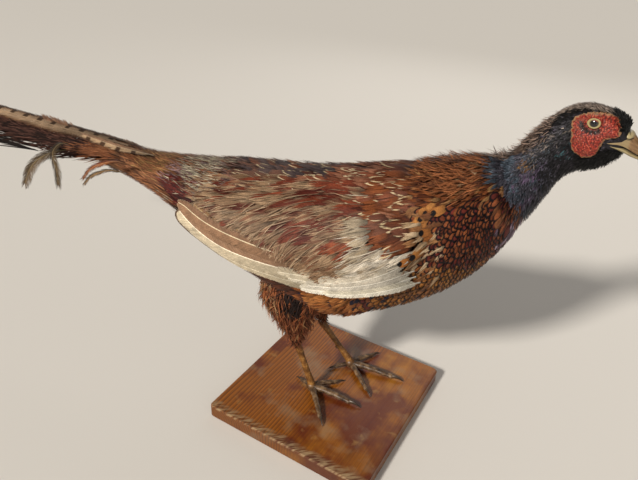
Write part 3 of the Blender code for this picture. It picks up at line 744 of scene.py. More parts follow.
# %% [markdown]
# ## The folded wings as part of that surface
#
# A folded wing is a pad of stacked feathers against the side. Its outer face is read from the
# packed wing by casting rays at it from the side. Two surfaces come from that: `hull`, the body
# with the wing's swelling eased in, on which the back feathers flow over the wing's edge without a
# step, and `flank`, a flat chart of the wing's own face for the long stiff quills.
# %% Wing surfaces
WING_LOW = np.array(((84, 237), (77, 214), (49, 191), (10, 179), (-39, 174.5), (-87, 173), (-124, 179.5),
    (-149, 194), (-156, 205)), float)
WING_HIGH = np.array(((84, 241), (77, 251), (50, 257), (10, 254), (-39, 248), (-87, 241), (-122, 232),
    (-146, 219), (-156, 209)), float)


def tree_of(obj):
    return BVHTree.FromPolygons([v.co / MM for v in obj.data.vertices],
        [tuple(p.vertices) for p in obj.data.polygons])


def outer_side(tree, x, z, start):
    """How far out the solid reaches to the right at each (x, z), and NaN where it isn't. The rays
    come in from `start` mm.
    """
    found = np.full(x.shape, np.nan)
    for k in np.ndindex(x.shape):
        hit = tree.ray_cast(Vector((x[k], start, z[k])), Vector((0, 1, 0)))[0]
        if hit:
            found[k] = -hit.y
    return found


def fill_out(field, rounds):
    """Spreads the known values into the unknown ones beside them, round by round."""
    for _ in range(rounds):
        gap = np.isnan(field)
        if not gap.any():
            break
        near = np.stack([np.roll(field, step, axis) for step in (-1, 1) for axis in (0, 1)])
        known = ~np.isnan(near)
        total = np.where(known, near, 0).sum(0) / np.maximum(known.sum(0), 1)
        field = np.where(gap & known.any(0), total, field)
    return field


def blur(field, rounds):
    for _ in range(rounds):
        for axis in (0, 1):
            field = (np.roll(field, 1, axis) + 2 * field + np.roll(field, -1, axis)) / 4
    return field


CHART_X, CHART_Z = np.linspace(120, -180, 121), np.linspace(140, 300, 65)     # a point every 2.5 mm
chart_x, chart_z = np.meshgrid(CHART_X, CHART_Z, indexing="ij")
wing_face = outer_side(tree_of(nodes["wing_right"]), chart_x, chart_z, -400.0)
print("wing face hits", int((~np.isnan(wing_face)).sum()), "out to", round(float(np.nanmax(wing_face)), 1))
wing_full = blur(fill_out(wing_face, 80), 3)


def sample_chart(field, x, z):
    """A chart's value at side-view places, read between its grid points."""
    last_i, last_j = len(CHART_X) - 1, len(CHART_Z) - 1
    i = np.clip((CHART_X[0] - x) / (CHART_X[0] - CHART_X[-1]) * last_i, 0, last_i - 0.001)
    j = np.clip((z - CHART_Z[0]) / (CHART_Z[-1] - CHART_Z[0]) * last_j, 0, last_j - 0.001)
    m, n = i.astype(int), j.astype(int)
    s, t = i - m, j - n
    return ((field[m, n] * (1 - s) + field[m + 1, n] * s) * (1 - t)
        + (field[m, n + 1] * (1 - s) + field[m + 1, n + 1] * s) * t)


def edges_of_wing(x):
    """The lower and the upper edge of the folded wing, seen from the side."""
    return [np.interp(x, line[::-1, 0], line[::-1, 1]) for line in (WING_LOW, WING_HIGH)]


def wing_share(x, z, margin=0.0):
    """1 inside the wing's outline from the side, 0 outside, in a step 4 mm wide."""
    low, high = edges_of_wing(x)
    deep = np.minimum(np.minimum(z - low, high - z), np.minimum(84 - x, x + 156))
    return ease(deep - margin, -2, 2)


body_points, body_normals = body.table[..., :3], body.table[..., 3:6]
swell = (sample_chart(wing_full, straight[..., 0], straight[..., 2]) - np.abs(straight[..., 1]))
swell = np.clip(swell, 0, 14) * np.abs(body_normals[..., 1])
swell *= wing_share(straight[..., 0], straight[..., 2]) * (np.abs(straight[..., 1]) > 5)
swell = blur(swell, 12)
hull = Ground(body_points + body_normals * swell[..., None], True, body_normals)
flank_grounds = {}
for side, sign in SIDES:
    chart = np.stack([chart_x, sign * wing_full, chart_z], -1)
    flank_grounds[side] = Ground(chart, False, np.array([0.0, sign, 0.0]), (0.01, 0.98))
print("wing swells the side by", round(float(swell.max()), 1), "mm")

# %% [markdown]
# ## The thighs
#
# The feathered thigh, the drumstick of the table, hangs from the belly as a flattened cone. It
# has its own surface, with `a` running down to the hock, so its plumes can hang down the leg.
# %% Thigh surfaces
THIGH = np.array(((163, -34, 27, 33, 13), (146, -38, 31, 33, 17), (128, -41, 32, 29, 17),
    (110, -38, 31, 21, 14.5), (94, -35.5, 29.5, 12.5, 10.5), (82, -34, 28, 7.0, 7.0),
    (76.5, -33.4, 27.5, 4.6, 4.8)))
THIGH_MOVE = {"right": (0, 0), "left": (6, -8)}


def thigh_points(side, rows, around):
    at, b = np.meshgrid(np.linspace(0, 1, rows), np.arange(around) / around, indexing="ij")
    z, x, y, long, broad = np.moveaxis(smooth(THIGH, at * (len(THIGH) - 1)), -1, 0)
    move_x, move_z = THIGH_MOVE[side]
    c, s = np.cos(2 * np.pi * b), np.sin(2 * np.pi * b)
    sign = -1 if side == "right" else 1
    return np.stack([x + move_x * at + long * c, sign * y + broad * s, z + move_z * at - 0.10 * long * c],
        -1)


thighs = {}
for side, home in (("right", (0.83, 0.07)), ("left", (0.915, 0.07))):
    shape = thigh_points(side, 81, 96)
    thighs[side] = Ground(shape, True, shape - shape.mean(1, keepdims=True), home)
print("thighs", [round(float(np.ptp(t.table[..., 2]))) for t in thighs.values()], "mm high")

# %% [markdown]
# ## One skin
#
# Under its feathers the bird is a single dried skin. The body and both thighs are drawn in by the
# coat's depth, joined, and remeshed at 2.3 mm, which welds them into one closed surface with no
# seam. It takes its colours from the same zones as the feathers, only duller, so a gap between two
# feathers never shows a wrong colour.
# %% Skin
def closed_loft(rings, first):
    """Points and faces of a loft with both ends drawn in to a point."""
    rows, columns = rings.shape[:2]
    points = np.concatenate([rings.reshape(-1, 3), [rings[0].mean(0), rings[-1].mean(0)]])
    quads = grid_faces(rows, columns, True, first)
    ends = [fan(np.arange(columns)[::-1] + first, first + rows * columns),
        fan(np.arange(columns) + first + (rows - 1) * columns, first + rows * columns + 1)]
    return points, quads, np.concatenate(ends)


def drawn_in(ground, a, b, depth):
    point, normal, _, _ = ground.at(a, b)
    return point - normal * depth[..., None]


skin_a, skin_b = np.meshgrid(np.linspace(0, 1, 241), np.arange(120) / 120, indexing="ij")
lofts = [drawn_in(body, skin_a, skin_b, coat_depth(skin_a))]
leg_a, leg_b = np.meshgrid(np.linspace(0.0, 0.97, 50), np.arange(48) / 48, indexing="ij")
for ground in thighs.values():
    lofts.append(drawn_in(ground, leg_a, leg_b, 3.4 - 2.2 * leg_a))
points, quads, tris = [], [], []
for loft in lofts:
    made = closed_loft(loft, sum(len(p) for p in points))
    for store, part in zip((points, quads, tris), made):
        store.append(part)
hide, node = new_finish("dried_skin")
rough_form = piece("rough_form", np.concatenate(points), [np.concatenate(quads), np.concatenate(tris)],
    hide, None)
SKIN_VOXEL = 2.3
weld = rough_form.modifiers.new("weld", "REMESH")
weld.mode, weld.voxel_size = "VOXEL", SKIN_VOXEL * MM
relax = rough_form.modifiers.new("relax", "SMOOTH")
relax.factor, relax.iterations = 0.5, 3
welded = bpy.data.meshes.new_from_object(rough_form.evaluated_get(bpy.context.evaluated_depsgraph_get()))
skin_points = np.empty(len(welded.vertices) * 3, np.float32)
welded.vertices.foreach_get("co", skin_points)
skin_points = skin_points.reshape(-1, 3).astype(float) / MM
skin_faces = np.array([tuple(p.vertices) for p in welded.polygons if len(p.vertices) == 4])
bpy.data.objects.remove(rough_form, do_unlink=True)


def nearest_place(ground, points, skip):
    """The parameters a and b of the closest grid point of a ground, and how far away it is."""
    rows, columns = ground.table.shape[0] - 1, ground.table.shape[1]
    a, b = np.meshgrid(np.arange(0, rows + 1, skip), np.arange(0, columns, skip), indexing="ij")
    tree = KDTree(a.size)
    for k, co in enumerate(ground.table[a.ravel(), b.ravel(), :3]):
        tree.insert(co, k)
    tree.balance()
    found = [tree.find(p)[1:] for p in points]
    index, far = np.array([f[0] for f in found]), np.array([f[1] for f in found])
    return a.ravel()[index] / rows, b.ravel()[index] / columns, far


grounds = [body, *thighs.values()]
places = [nearest_place(ground, skin_points, skip) for ground, skip in zip(grounds, (4, 2, 2))]
owner = np.argmin([far for _, _, far in places], axis=0)
tint = body_tint(places[0][0], places[0][1], body.at(*places[0][:2])[0], 5)
hide_colour = tint["ground"].copy()
hide_colour[:, 3] = 1.0
hide_colour[owner > 0, :3] = srgb("54301f")
hide_colour[:, :3] *= 0.55
face_owner = owner[skin_faces[:, 0]]
corner_uv = np.zeros((len(skin_faces), 4, 2))
for k, (ground, (a, b, _)) in enumerate(zip(grounds, places)):
    b = b[skin_faces]
    b = b + ((b.max(1, keepdims=True) - b.min(1, keepdims=True) > 0.5) & (b < 0.5))
    chart = scatter_map(ground, a[skin_faces], b)
    corner_uv[face_owner == k] = chart[face_owner == k]
skin = piece("skin", skin_points, [skin_faces], hide, "trunk_plumage",
    ("head", "neck", "trunk", "tail_coverts", "thigh_left", "thigh_right"), hide=hide_colour)
skin.data.uv_layers.new(name="OFBake").data.foreach_set("uv", corner_uv.astype(np.float32).reshape(-1))
creases = node("TexNoise", node("TexCoord", out="Object"), None, 700.0, 3.0)
colour = node("VectorMath SCALE",
    {0: node("Attribute", attribute_name="hide", out="Color"),
    "Scale": node("MapRange", creases, 0.0, 1.0, 0.7, 1.25)})
node("OutputMaterial",
    node("BsdfPrincipled", {"Base Color": colour, "Roughness": 0.8, "Specular IOR Level": 0.25,
    "Normal": node("Bump", {"Height": creases, "Strength": 0.4, "Distance": 0.6 * MM})}))
print("skin quads", len(skin_faces))

# %% [markdown]
# ## The bare red face
#
# The wattle is a patch of bare skin round the eye, thick with tiny red pimples. It is drawn as a
# rim of points seen from the side. Later pieces need to know where it is, so its outline comes
# first, as a distance from the eye for each direction.
# %% Wattle outline
EYE_X, EYE_Z, EYE_OUT, EYE_RADIUS = 184.3, 344.5, 10.9, 6.2
WATTLE = np.array(((201.7, 342), (200.4, 346.8), (197.6, 349.6), (193, 350.9), (186.4, 351.3),
    (179.5, 350.4), (173.6, 348), (170.3, 344.4), (170.9, 339.8), (172.6, 334), (173.7, 328.3),
    (176.1, 324.1), (180.6, 320.9), (185.4, 320), (189, 321.6), (191.4, 325.1), (192.4, 330),
    (193.4, 334), (195.6, 336.2), (199, 337.0), (201.6, 338.6)))
ring_at = np.linspace(0, len(WATTLE), 241)
rim = smooth(np.concatenate([WATTLE[-2:], WATTLE, WATTLE[:3]]), ring_at + 2) - (EYE_X, EYE_Z)
rim_turn, rim_reach = np.arctan2(rim[:, 1], rim[:, 0]), np.hypot(rim[:, 0], rim[:, 1])
order = np.argsort(rim_turn)
rim_turn, rim_reach = rim_turn[order], rim_reach[order]


def rim_distance(angle):
    """From the eye to the wattle's rim, in the direction `angle` seen from the right."""
    return np.interp(angle, rim_turn, rim_reach, period=2 * np.pi)


def inside_wattle(x, z, margin=0.0):
    """How far inside the rim a side-view place is, in mm; negative outside."""
    dx, dz = x - EYE_X, z - EYE_Z
    return rim_distance(np.arctan2(dz, dx)) - np.hypot(dx, dz) - margin


print("wattle", round(float(np.ptp(WATTLE[:, 0]))), "x", round(float(np.ptp(WATTLE[:, 1]))), "mm")

# %% [markdown]
# ## The body's feathers
#
# Spacing follows the bird: about 6 mm between rows on the rump, 5 on the breast, 3 on the neck
# and 1.5 on the face. One set of roots covers the body, and each feather is then made in the way
# of its tract: round and tidy on the breast, frayed on the mantle, hair-like on the rump.
# %% Contour feathers
GAPE_Z = 332     # the height of the corner of the mouth
SPACE_ROWS = (0, 1, 5, 7.5, 8.5, 10, 12, 14, 16, 18, 21)
SPACE_MM = (6.0, 6.0, 6.2, 5.4, 3.8, 3.3, 2.8, 2.4, 2.0, 1.7, 1.4)
SPACE_ACROSS = (6.7, 6.7, 6.9, 6.4, 6.2, 5.6, 4.2, 2.8, 2.3, 2.0, 1.6)


def space_along(a):
    return float(np.interp(row_of(a), SPACE_ROWS, SPACE_MM))


def space_across(a):
    return float(np.interp(row_of(a), SPACE_ROWS, SPACE_ACROSS))


def pick(mask, *columns):
    return [column[mask] for column in columns]


def pick_tint(tint, mask):
    return {key: value[mask] for key, value in tint.items()}


def back_line(x):
    """How high round the body, from 0 at the keel to 1 on the back, the chestnut back begins."""
    return np.interp(x, (-120, -36, 20, 38, 52, 62, 84), (0.82, 0.86, 0.84, 0.75, 0.68, 0.61, 0.60))


a, b, run = roots(body, space_along, space_across, 21, (0.0015, 0.999))
p = body.at(a, b)[0]
flat = sections(BODY, row_of(a), b)
back = round_up(b)
wing_cover = wing_share(flat[:, 0], flat[:, 2], 5.0) > 0.5
off_middle = np.abs(flat[:, 1]) > 4
bare = (inside_wattle(flat[:, 0], flat[:, 2], -0.3) > 0) & (flat[:, 0] > 168) & off_middle
own_back = (back > back_line(flat[:, 0]) + 0.02) & (flat[:, 0] > -112) & (flat[:, 0] < 62)
# the bill's root and the corner of the mouth are bare too
horny = (flat[:, 0] > 196.5) & (np.abs(flat[:, 2] - GAPE_Z) < 4.0) & off_middle
horny |= (flat[:, 0] > 203.5) & (flat[:, 2] < 342.5)
kept = ~wing_cover & ~bare & ~own_back & ~horny
a, b, run, p, back = pick(kept, a, b, run, p, back)
tint = body_tint(a, b, p, 22)
x, z = p[:, 0], p[:, 2]
row = row_of(a)
dark = past_collar(x, z)
mantle = (x > 58) & (z > mantle_line(x)) & (row < 13) & (dark < -1)
tracts = {
    "rump": (row < 5.3) | ((row < 6) & (back > 0.5)),
    "mantle": mantle,
    "neck": ((row >= 12.6) | (dark >= -1)) & (row < 15.8) & ~mantle,
    "face": row >= 15.8,
}
rest = ~np.any(list(tracts.values()), axis=0)
tracts["breast"] = rest & (breast_place(x, z) > 70)
tracts["belly"] = rest & ~tracts["breast"]
# Length and width over the row spacing, the tips' lift, blades, and then how they are made.
WAYS = {
    "rump": (4.4, 1.5, 0.6, 8, dict(fray=0.5, blunt=0.5, wander=0.20, curl=0.5, shade=0.32, lock=2)),
    "mantle": (4.4, 1.35, 1.4, 9, dict(fray=0.45, blunt=0.5, wander=0.12, curl=1.6, shade=0.2, lock=3)),
    "neck": (2.9, 1.35, 0.7, 5, dict(fray=0.3, wander=0.08, curl=0.3, shade=0.28, cuts=3)),
    "face": (2.9, 1.1, 0.8, 4, dict(fray=0.5, blunt=0.4, wander=0.16, curl=0.4, shade=0.30, cuts=3)),
    "breast": (4.0, 2.45, 0.9, 9, dict(fray=0.05, blunt=0.26, wander=0.01, shade=0.08, ends=0.06)),
    "belly": (3.4, 1.5, 0.4, 7, dict(fray=0.4, blunt=0.45, wander=0.10, shade=0.18, lock=2)),
}
batches = {}
for number, (tract, mask) in enumerate(tracts.items()):
    long, wide, lift, blades, way = WAYS[tract]
    ra, rb, rr = pick(mask, a, b, run)
    rng = np.random.default_rng(130 + number)
    batches[tract] = lay(body, ra, rb, rr * long, rr * wide, -coat_depth(ra),
        lift * (0.3 + rng.random(len(ra))), pick_tint(tint, mask), 30 + number,
        turn=rng.normal(0, 0.25 if tract == "face" else 0.14, len(ra)), blades=blades, **way)
print({tract: int(mask.sum()) for tract, mask in tracts.items()})

# %% [markdown]
# ## Hair-like plumes
#
# Some tracts are so frayed that they read as hair: the scruffy nape of an old mount, the hump
# between its shoulders and the rump. These are one or two narrow blades, half a millimetre to a
# millimetre wide, scattered over a zone.
# %% Plumes
def scatter(ground, count, seed, where, span=(0.0, 1.0)):
    """Random roots, spread evenly by area, where `where(a, b, points)` says, with a in the span."""
    rng = np.random.default_rng(seed)
    a, b = rng.uniform(*span, count * 8), rng.random(count * 8)
    _, _, la, lb = ground.at(a, b)
    share = la * lb
    near = rng.random(count * 8) < share / np.quantile(share, 0.98)
    a, b = a[near], b[near]
    inside = where(a, b, ground.at(a, b)[0])
    return a[inside][:count], b[inside][:count]


def plain_tint(n, ground, seed):
    tint, dye = palette(n, np.random.default_rng(seed))
    dye(1, ground)
    return tint


def nape_zone(a, b, p):
    return ((p[:, 0] > 122) & (p[:, 0] < 164) & (row_of(a) > 11.3)
        & (round_up(b) > nape_edge(p[:, 0] - 6) + 0.02 * wobble(p[:, 0], p[:, 2], 1.0)))


def hairs(ground, a, b, rng, seed, length, width, low, high, tint, turn, bend, **way):
    """Plumes of one or two blades. `length` and `high` turn a random share into mm, and `turn` and
    `bend` are a mean and a spread.
    """
    n = len(a)
    way = dict(dict(blades=1, cuts=4, blunt=0, fray=0.4, wander=0.4), **way)
    return lay(ground, a, b, length(rng.random(n)), width, low, high(rng.random(n)), tint, seed,
        turn=rng.normal(*turn, n), bend=rng.normal(*bend, n), **way)


na, nb = scatter(body, 5200, 41, nape_zone, (0.2, 0.55))
batches["nape"] = hairs(body, na, nb, np.random.default_rng(42), 44, lambda r: 7 + 5 * r, 0.5, -2.0,
    lambda r: 0.8 + 5.0 * r ** 2, plain_tint(len(na), "3c2e28 a28878", 43), (0, 0.35), (0, 0.5), curl=1.0)


def crest_zone(a, b, p):
    return (p[:, 0] > 162) & (p[:, 0] < 171) & (round_up(b) > 0.86)


# the crown's last feathers stand off over the nape
na, nb = scatter(body, 700, 241, crest_zone, (0.3, 0.7))
batches["crest"] = hairs(body, na, nb, np.random.default_rng(242), 244, lambda r: 9 + 4 * r, 0.8, -1.5,
    lambda r: 2.2 + 2.6 * r, plain_tint(len(na), "2c2420 8a7868", 243), (0, 0.12), (0, 0.2), fray=0.3,
    wander=0.3, curl=0.3)


def hump_zone(a, b, p):
    return (p[:, 0] > 66) & (p[:, 0] < 120) & (round_up(b) > 0.70) & (p[:, 2] > 280)


na, nb = scatter(body, 4200, 141, hump_zone, (0.3, 0.7))
ahead = body.at(na, nb)[0][:, 0]
ahead = ease(ahead, 66, 94) * (1 - 0.85 * ease(ahead, 106, 114))
hump = hairs(body, na, nb, np.random.default_rng(142), 144, lambda r: 11 + 7 * r, 1.0, -2.0,
    lambda r: 0.6 + ahead * (1.0 + 5.0 * r ** 1.5), plain_tint(len(na), "4e2712 9a5e38", 143), (0, 0.3),
    (0, 0.4), blades=2, blunt=0.3, fray=0.5, curl=1.0, shade=0.25)


def rump_zone(a, b, p):
    return (row_of(a) < 5.2) & (wing_share(p[:, 0], p[:, 2], 4.0) < 0.5)


na, nb = scatter(body, 6500, 45, rump_zone)
rng = np.random.default_rng(46)
tint = body_tint(na, nb, body.at(na, nb)[0], 47)
tint["ground"][:, :3] *= rng.uniform(0.45, 2.1, (len(na), 1))
batches["rump_hair"] = hairs(body, na, nb, rng, 48, lambda r: 16 + 14 * r, 0.8, -1.6,
    lambda r: 0.6 + 1.2 * r, tint, (0, 0.16), (0, 0.25), fray=0.3, wander=0.3, curl=0.4)
gather("coat_head_and_neck", [batches["neck"], batches["face"], batches["nape"], batches["crest"]],
    head_down, "head_plumage")
gather("coat_breast", [batches["breast"]], trunk_down, "trunk_plumage")
gather("coat_mantle_and_belly", [batches["mantle"], batches["belly"], hump], trunk_down, "trunk_plumage")
gather("coat_rump", [batches["rump"], batches["rump_hair"]], rump_down, "rump_plumage")

# %% [markdown]
# ## Back and shoulder
#
# The feathers of the back and shoulders are the showy ones: chestnut, 12 to 15 mm wide, many with a
# cream horseshoe near its tip and a purple-grey edge. They are larger than the body's others and
# sit in a sparser tract, so they get roots of their own, on the surface that includes the wing.
# %% Back feathers
def mirrored(side, b, turn):
    """Places and angles worked out for the right side, turned over for the left."""
    return (b, turn) if side == "right" else (1 - b, -turn)


def back_tint(x, back, seed):
    tint, dye = palette(len(x), np.random.default_rng(seed))
    dye(1, "4c281c 76422c", "3a2824 5a443e", 1.9, 0.8, "a08c6c cab694", HORSESHOE, 0.45)
    dye(0.3, "6c4230 8c5c44", "7c6450 a88e72", 1.6, 0.7)
    dye(ease(-x, -10, 60) * 0.7, "563a2e 785445", "524446 766464", 2.0, 0.8,
        "a89878 cebc9e", HORSESHOE, 0.34)
    dye(ease(x, 40, 55) * 0.6, "4c2412 784020", "200e08 3c2216", 1.6, 0.8,
        "a8926e ccb892", HORSESHOE, 0.40)
    top = ease(back + 0.02 * np.sin(x * 0.31), 0.86, 0.93) * (1 - ease(x, -10, 30))
    dye(top * 0.7, "32282a 5c4a46", "443a3c 665a5a", 1.6, 0.7, "8c7a5e b8a482", HORSESHOE, 0.25)
    return tint


ba, bb, run = roots(body, lambda a: 8.5, lambda a: 7.6, 51, (0.2, 0.8), 0.35)
p = body.at(ba, bb)[0]
back = round_up(bb)
kept = ((back > back_line(p[:, 0]) - 0.03) & (p[:, 0] > -118) & (p[:, 0] < 84)
    & (p[:, 2] + 0.5 * (p[:, 0] - 84) < 274))
ba, bb, run, p, back = pick(kept, ba, bb, run, p, back)
tint = back_tint(p[:, 0], back, 52)
rng = np.random.default_rng(53)
back_set = lay(hull, ba, bb, 24 + 6 * rng.random(len(ba)), 12 + 3 * rng.random(len(ba)), -4.2,
    0.5 + 1.6 * rng.random(len(ba)), tint, 54, turn=rng.normal(0, 0.16, len(ba)), blades=14, cuts=5,
    blunt=0.5, fray=0.36, wander=0.05, shade=0.13, ends=0.14, lock=2)
gather("coat_back", [back_set], trunk_down, "trunk_plumage")

# %% [markdown]
# ## The wing's soft feathers
#
# Over the quills lie long lance-shaped feathers with frayed buff edges and rufous middles. On the
# shoulder they are short, whitish and worn. All of them stream down and back: flat along the top
# of the wing, steeper below, drawn together towards the wing's tip. `stream` gives that direction.
# %% Wing coverts and lances
# side-view places, and the slope there in degrees
FLOW = np.array(((-140, 224, 26), (-127, 234, 17), (-92, 239, 8), (-91, 221, 22), (-75, 210, 34),
    (-44, 262, 3), (-60, 250, 9), (-27, 255, 22), (-27, 242, 30), (-58, 230, 32), (-52, 216, 46),
    (-31, 214, 58), (-10, 226, 40), (3, 218, 42), (-6, 204, 34), (10, 246, 27), (8, 262, 14),
    (-5, 273, -6), (25, 265, 12), (32, 245, 30), (42, 238, 42), (30, 226, 46), (54, 232, 46),
    (20, 207, 26), (40, 194, 10), (72, 220, 38)), float)


def stream(x, z):
    """The slope of the wing's feathers below the horizontal, as an angle, seen from the right."""
    near = np.exp(-((x[:, None] - FLOW[:, 0]) / 16) ** 2 - ((z[:, None] - FLOW[:, 1]) / 9) ** 2) + 1e-9
    return np.radians((near * FLOW[:, 2]).sum(1) / near.sum(1))


def lie_slope(ground, a, b):
    """How far the lie itself slopes below the horizontal, seen from the side."""
    ahead, behind = ground.at(a, b)[0], ground.at(a + 0.004, b)[0]
    step = behind - ahead
    return np.arctan2(-step[..., 2], -step[..., 0])


TIP_LINE = np.array(((-158, 219), (-146, 223), (-130, 223), (-117, 221), (-97, 216), (-78, 213.5),
    (-61.5, 208.6), (-48.5, 202.5), (-32, 198.5), (-14, 194), (16, 186), (34, 187), (60, 202), (76, 219),
    (90, 238)))


def tip_room(x, z, slope, bend):
    """How long a feather may be before its tip crosses the line where the quills show."""
    reach = np.linspace(2, 62, 61)
    path = slope[:, None] - bend[:, None] * reach / 120
    tip_x = x[:, None] - reach * np.cos(path)
    tip_z = z[:, None] - reach * np.sin(path)
    past = tip_z < np.interp(tip_x, TIP_LINE[:, 0], TIP_LINE[:, 1])
    return np.where(past.any(1), reach[past.argmax(1)], 62.0)


# Where worn buff edges have gone and the chestnut middles show, as side-view places, and their size.
CHESTNUT = np.array(((-10, 254, 11), (-27, 247, 10), (-21, 224, 9), (-34, 221, 10), (15, 250, 7),
    (2, 262, 9), (-22, 263, 9), (-45, 262, 8), (-68, 263, 9), (-95, 250, 6), (18, 270, 7), (-118, 240, 5),
    (-50, 240, 5), (-4, 236, 5), (-66, 252, 6)), float)


def chestnut_share(x, z, slope):
    """How likely a chestnut middle shows: in long patches that run with the feathers."""
    dx, dz = x[:, None] - CHESTNUT[:, 0], z[:, None] - CHESTNUT[:, 1]
    c, s = np.cos(slope)[:, None], np.sin(slope)[:, None]
    along, across = dx * c + dz * s, dz * c - dx * s
    in_patch = ease(1.2 - np.hypot(along / 1.15, across / 0.62) / CHESTNUT[:, 2], -0.1, 0.3).max(1)
    return 0.03 + 0.10 * ease(z, 235, 258) * ease(30 - x, 0, 20) + 0.92 * in_patch


def lance_tint(x, z, share, slope, reach, seed):
    """Colours by the place where a feather's free end lies, because that is all that shows."""
    rng = np.random.default_rng(seed)
    tint, dye = palette(len(x), rng)
    seen = np.maximum(reach - 7, 0.6 * reach)
    x, z = x - seen * np.cos(slope), z - seen * np.sin(slope)
    dye(1, "6e533c a08264", "8c7058 c0a484", 1.8, 0.7, "5e3c2a 7c543c", STREAK, 0.4)
    dye(ease(share, 0.62, 0.9) * 0.15, "5e3c2c 7e5844", "8c7860 b09a80", 2.0, 0.75,
        "4c2016 662f20", STREAK, 0.7)
    # worn pale feathers over the front of the wing, whitest low down, greenish at the shoulder
    pale = ease(x + 0.15 * (z - 215), 14, 32) * (1 - ease(z, 262, 274))
    dye(pale, "827058 b2a188", "a4947c cebfa8", 2.0, 0.7)
    dye(pale * ease(240 - z, 0, 20) * 0.8, "a89a86 cabfae", "b8a998 d8cdbc", 2.0, 0.7)
    olive = ease(14 - np.hypot((x - 40) * 0.8, z - 262), 0, 6)
    dye(olive * 0.7, "7c735c a0967c", "948a72 b4a88e", 1.6, 0.6)
    dye(chestnut_share(x, z, slope), "501c10 783822", "6c4a38 8c6a52", 0.7, 0.5)
    rufous = ease(9 - np.hypot((x - 14) * 0.55, z - 223), 0, 3)
    dye(rufous * 0.9, "682c1a 854428", "8c6c50 ac8c6c", 1.0, 0.4)
    return tint


def wing_roots(along, across, seed, back_end, front_end, low_share):
    """Roots on the right wing, where its soft feathers grow, with place and share of height."""
    a, b, _ = roots(hull, lambda _: along, lambda _: across, seed, (0.2, 0.95), 0.45)
    a, b = pick(b < 0.5, a, b)
    p = hull.at(a, b)[0]
    x, z = p[:, 0], p[:, 2]
    bottom, top = edges_of_wing(x)
    share = (z - bottom) / np.maximum(top - bottom, 1)
    above = z - np.interp(x, TIP_LINE[:, 0], TIP_LINE[:, 1])
    kept = ((x > back_end) & (x < front_end) & (share > low_share) & (above > 6)
        & (2 * b < back_line(x) + 0.03) & (x < 84 - 8 * ease(share, 0.5, 1))
        & ~((x > 34 + 0.5 * (262 - z)) & (z > 236)))
    return pick(kept, a, b, x, z, share)


# Long lances first, then shorter ones over them, short ones on the shoulder, and loose barbs. Each
# row: spacing along and across, where the layer ends behind and ahead, the length and how much it
# varies, width, heights of root and tip, blades, cuts, blades that cling, and its lowest edge.
LAYERS = ((11.0, 7.0, -136, 36, 38, 18, 10.0, -3.4, -0.2, 11, 7, 3, 0.02),
    (11.5, 6.5, -118, 60, 32, 12, 8.6, -2.2, 0.7, 11, 6, 3, 0.05),
    (6.0, 6.0, 6, 84, 18, 7, 8.0, -1.2, 1.2, 11, 4, 4, 0.20),
    (7.5, 7.5, -120, 80, 18, 16, 0.55, -0.6, 1.8, 1, 4, 1, 0.10))
SHORTEST = 7     # mm; a root with less room than this gets no feather
for side in ("right", "left"):
    seed = 60 if side == "right" else 80
    sets = []
    for along, across, back_end, front_end, long, more, width, low, high, *make in LAYERS:
        blades, cuts, lock, lowest = make
        seed += 3
        rng = np.random.default_rng(seed)
        a, b, x, z, share = wing_roots(along, across, seed, back_end, front_end, lowest)
        n = len(a)
        slope = stream(x, z) + rng.normal(0, 0.07 if blades > 1 else 0.16, n)
        turn = -(slope - lie_slope(hull, a, b))
        sweep = -0.35 + 0.6 * ease(x, 0, 35) + rng.normal(0, 0.1, n)
        reach = np.minimum(long + more * rng.random(n), tip_room(x, z, slope, sweep))
        a, b, x, z, share, slope, turn, sweep, reach = pick(
            reach > SHORTEST, a, b, x, z, share, slope, turn, sweep, reach)
        n = len(a)
        tint = lance_tint(x, z, share, slope, reach, seed + 1)
        if blades == 1:
            straw = srgb("c0a888") * rng.uniform(0.1, 0.75, (n, 1))
            tint["ground"][:, :3] = tint["ground"][:, :3] * 0.4 + straw
        b, turn = mirrored(side, b, turn)
        sets.append(lay(hull, a, b, reach, width * np.minimum(1, reach / 16),
            low + 0.4 * rng.normal(0, 1, n), high + 1.3 * rng.random(n), tint, seed + 2, turn=turn,
            blades=blades, cuts=cuts, blunt=0.5, fray=0.22, wander=0.08 if blades > 1 else 0.5,
            bend=sweep * (1 if side == "right" else -1), camber=0.03, curl=0.5, shade=0.17, lock=lock))
        print(side, "wing layer", n, "feathers")
    gather("coat_wing_" + side, sets, wing_down, "wing_plumage")

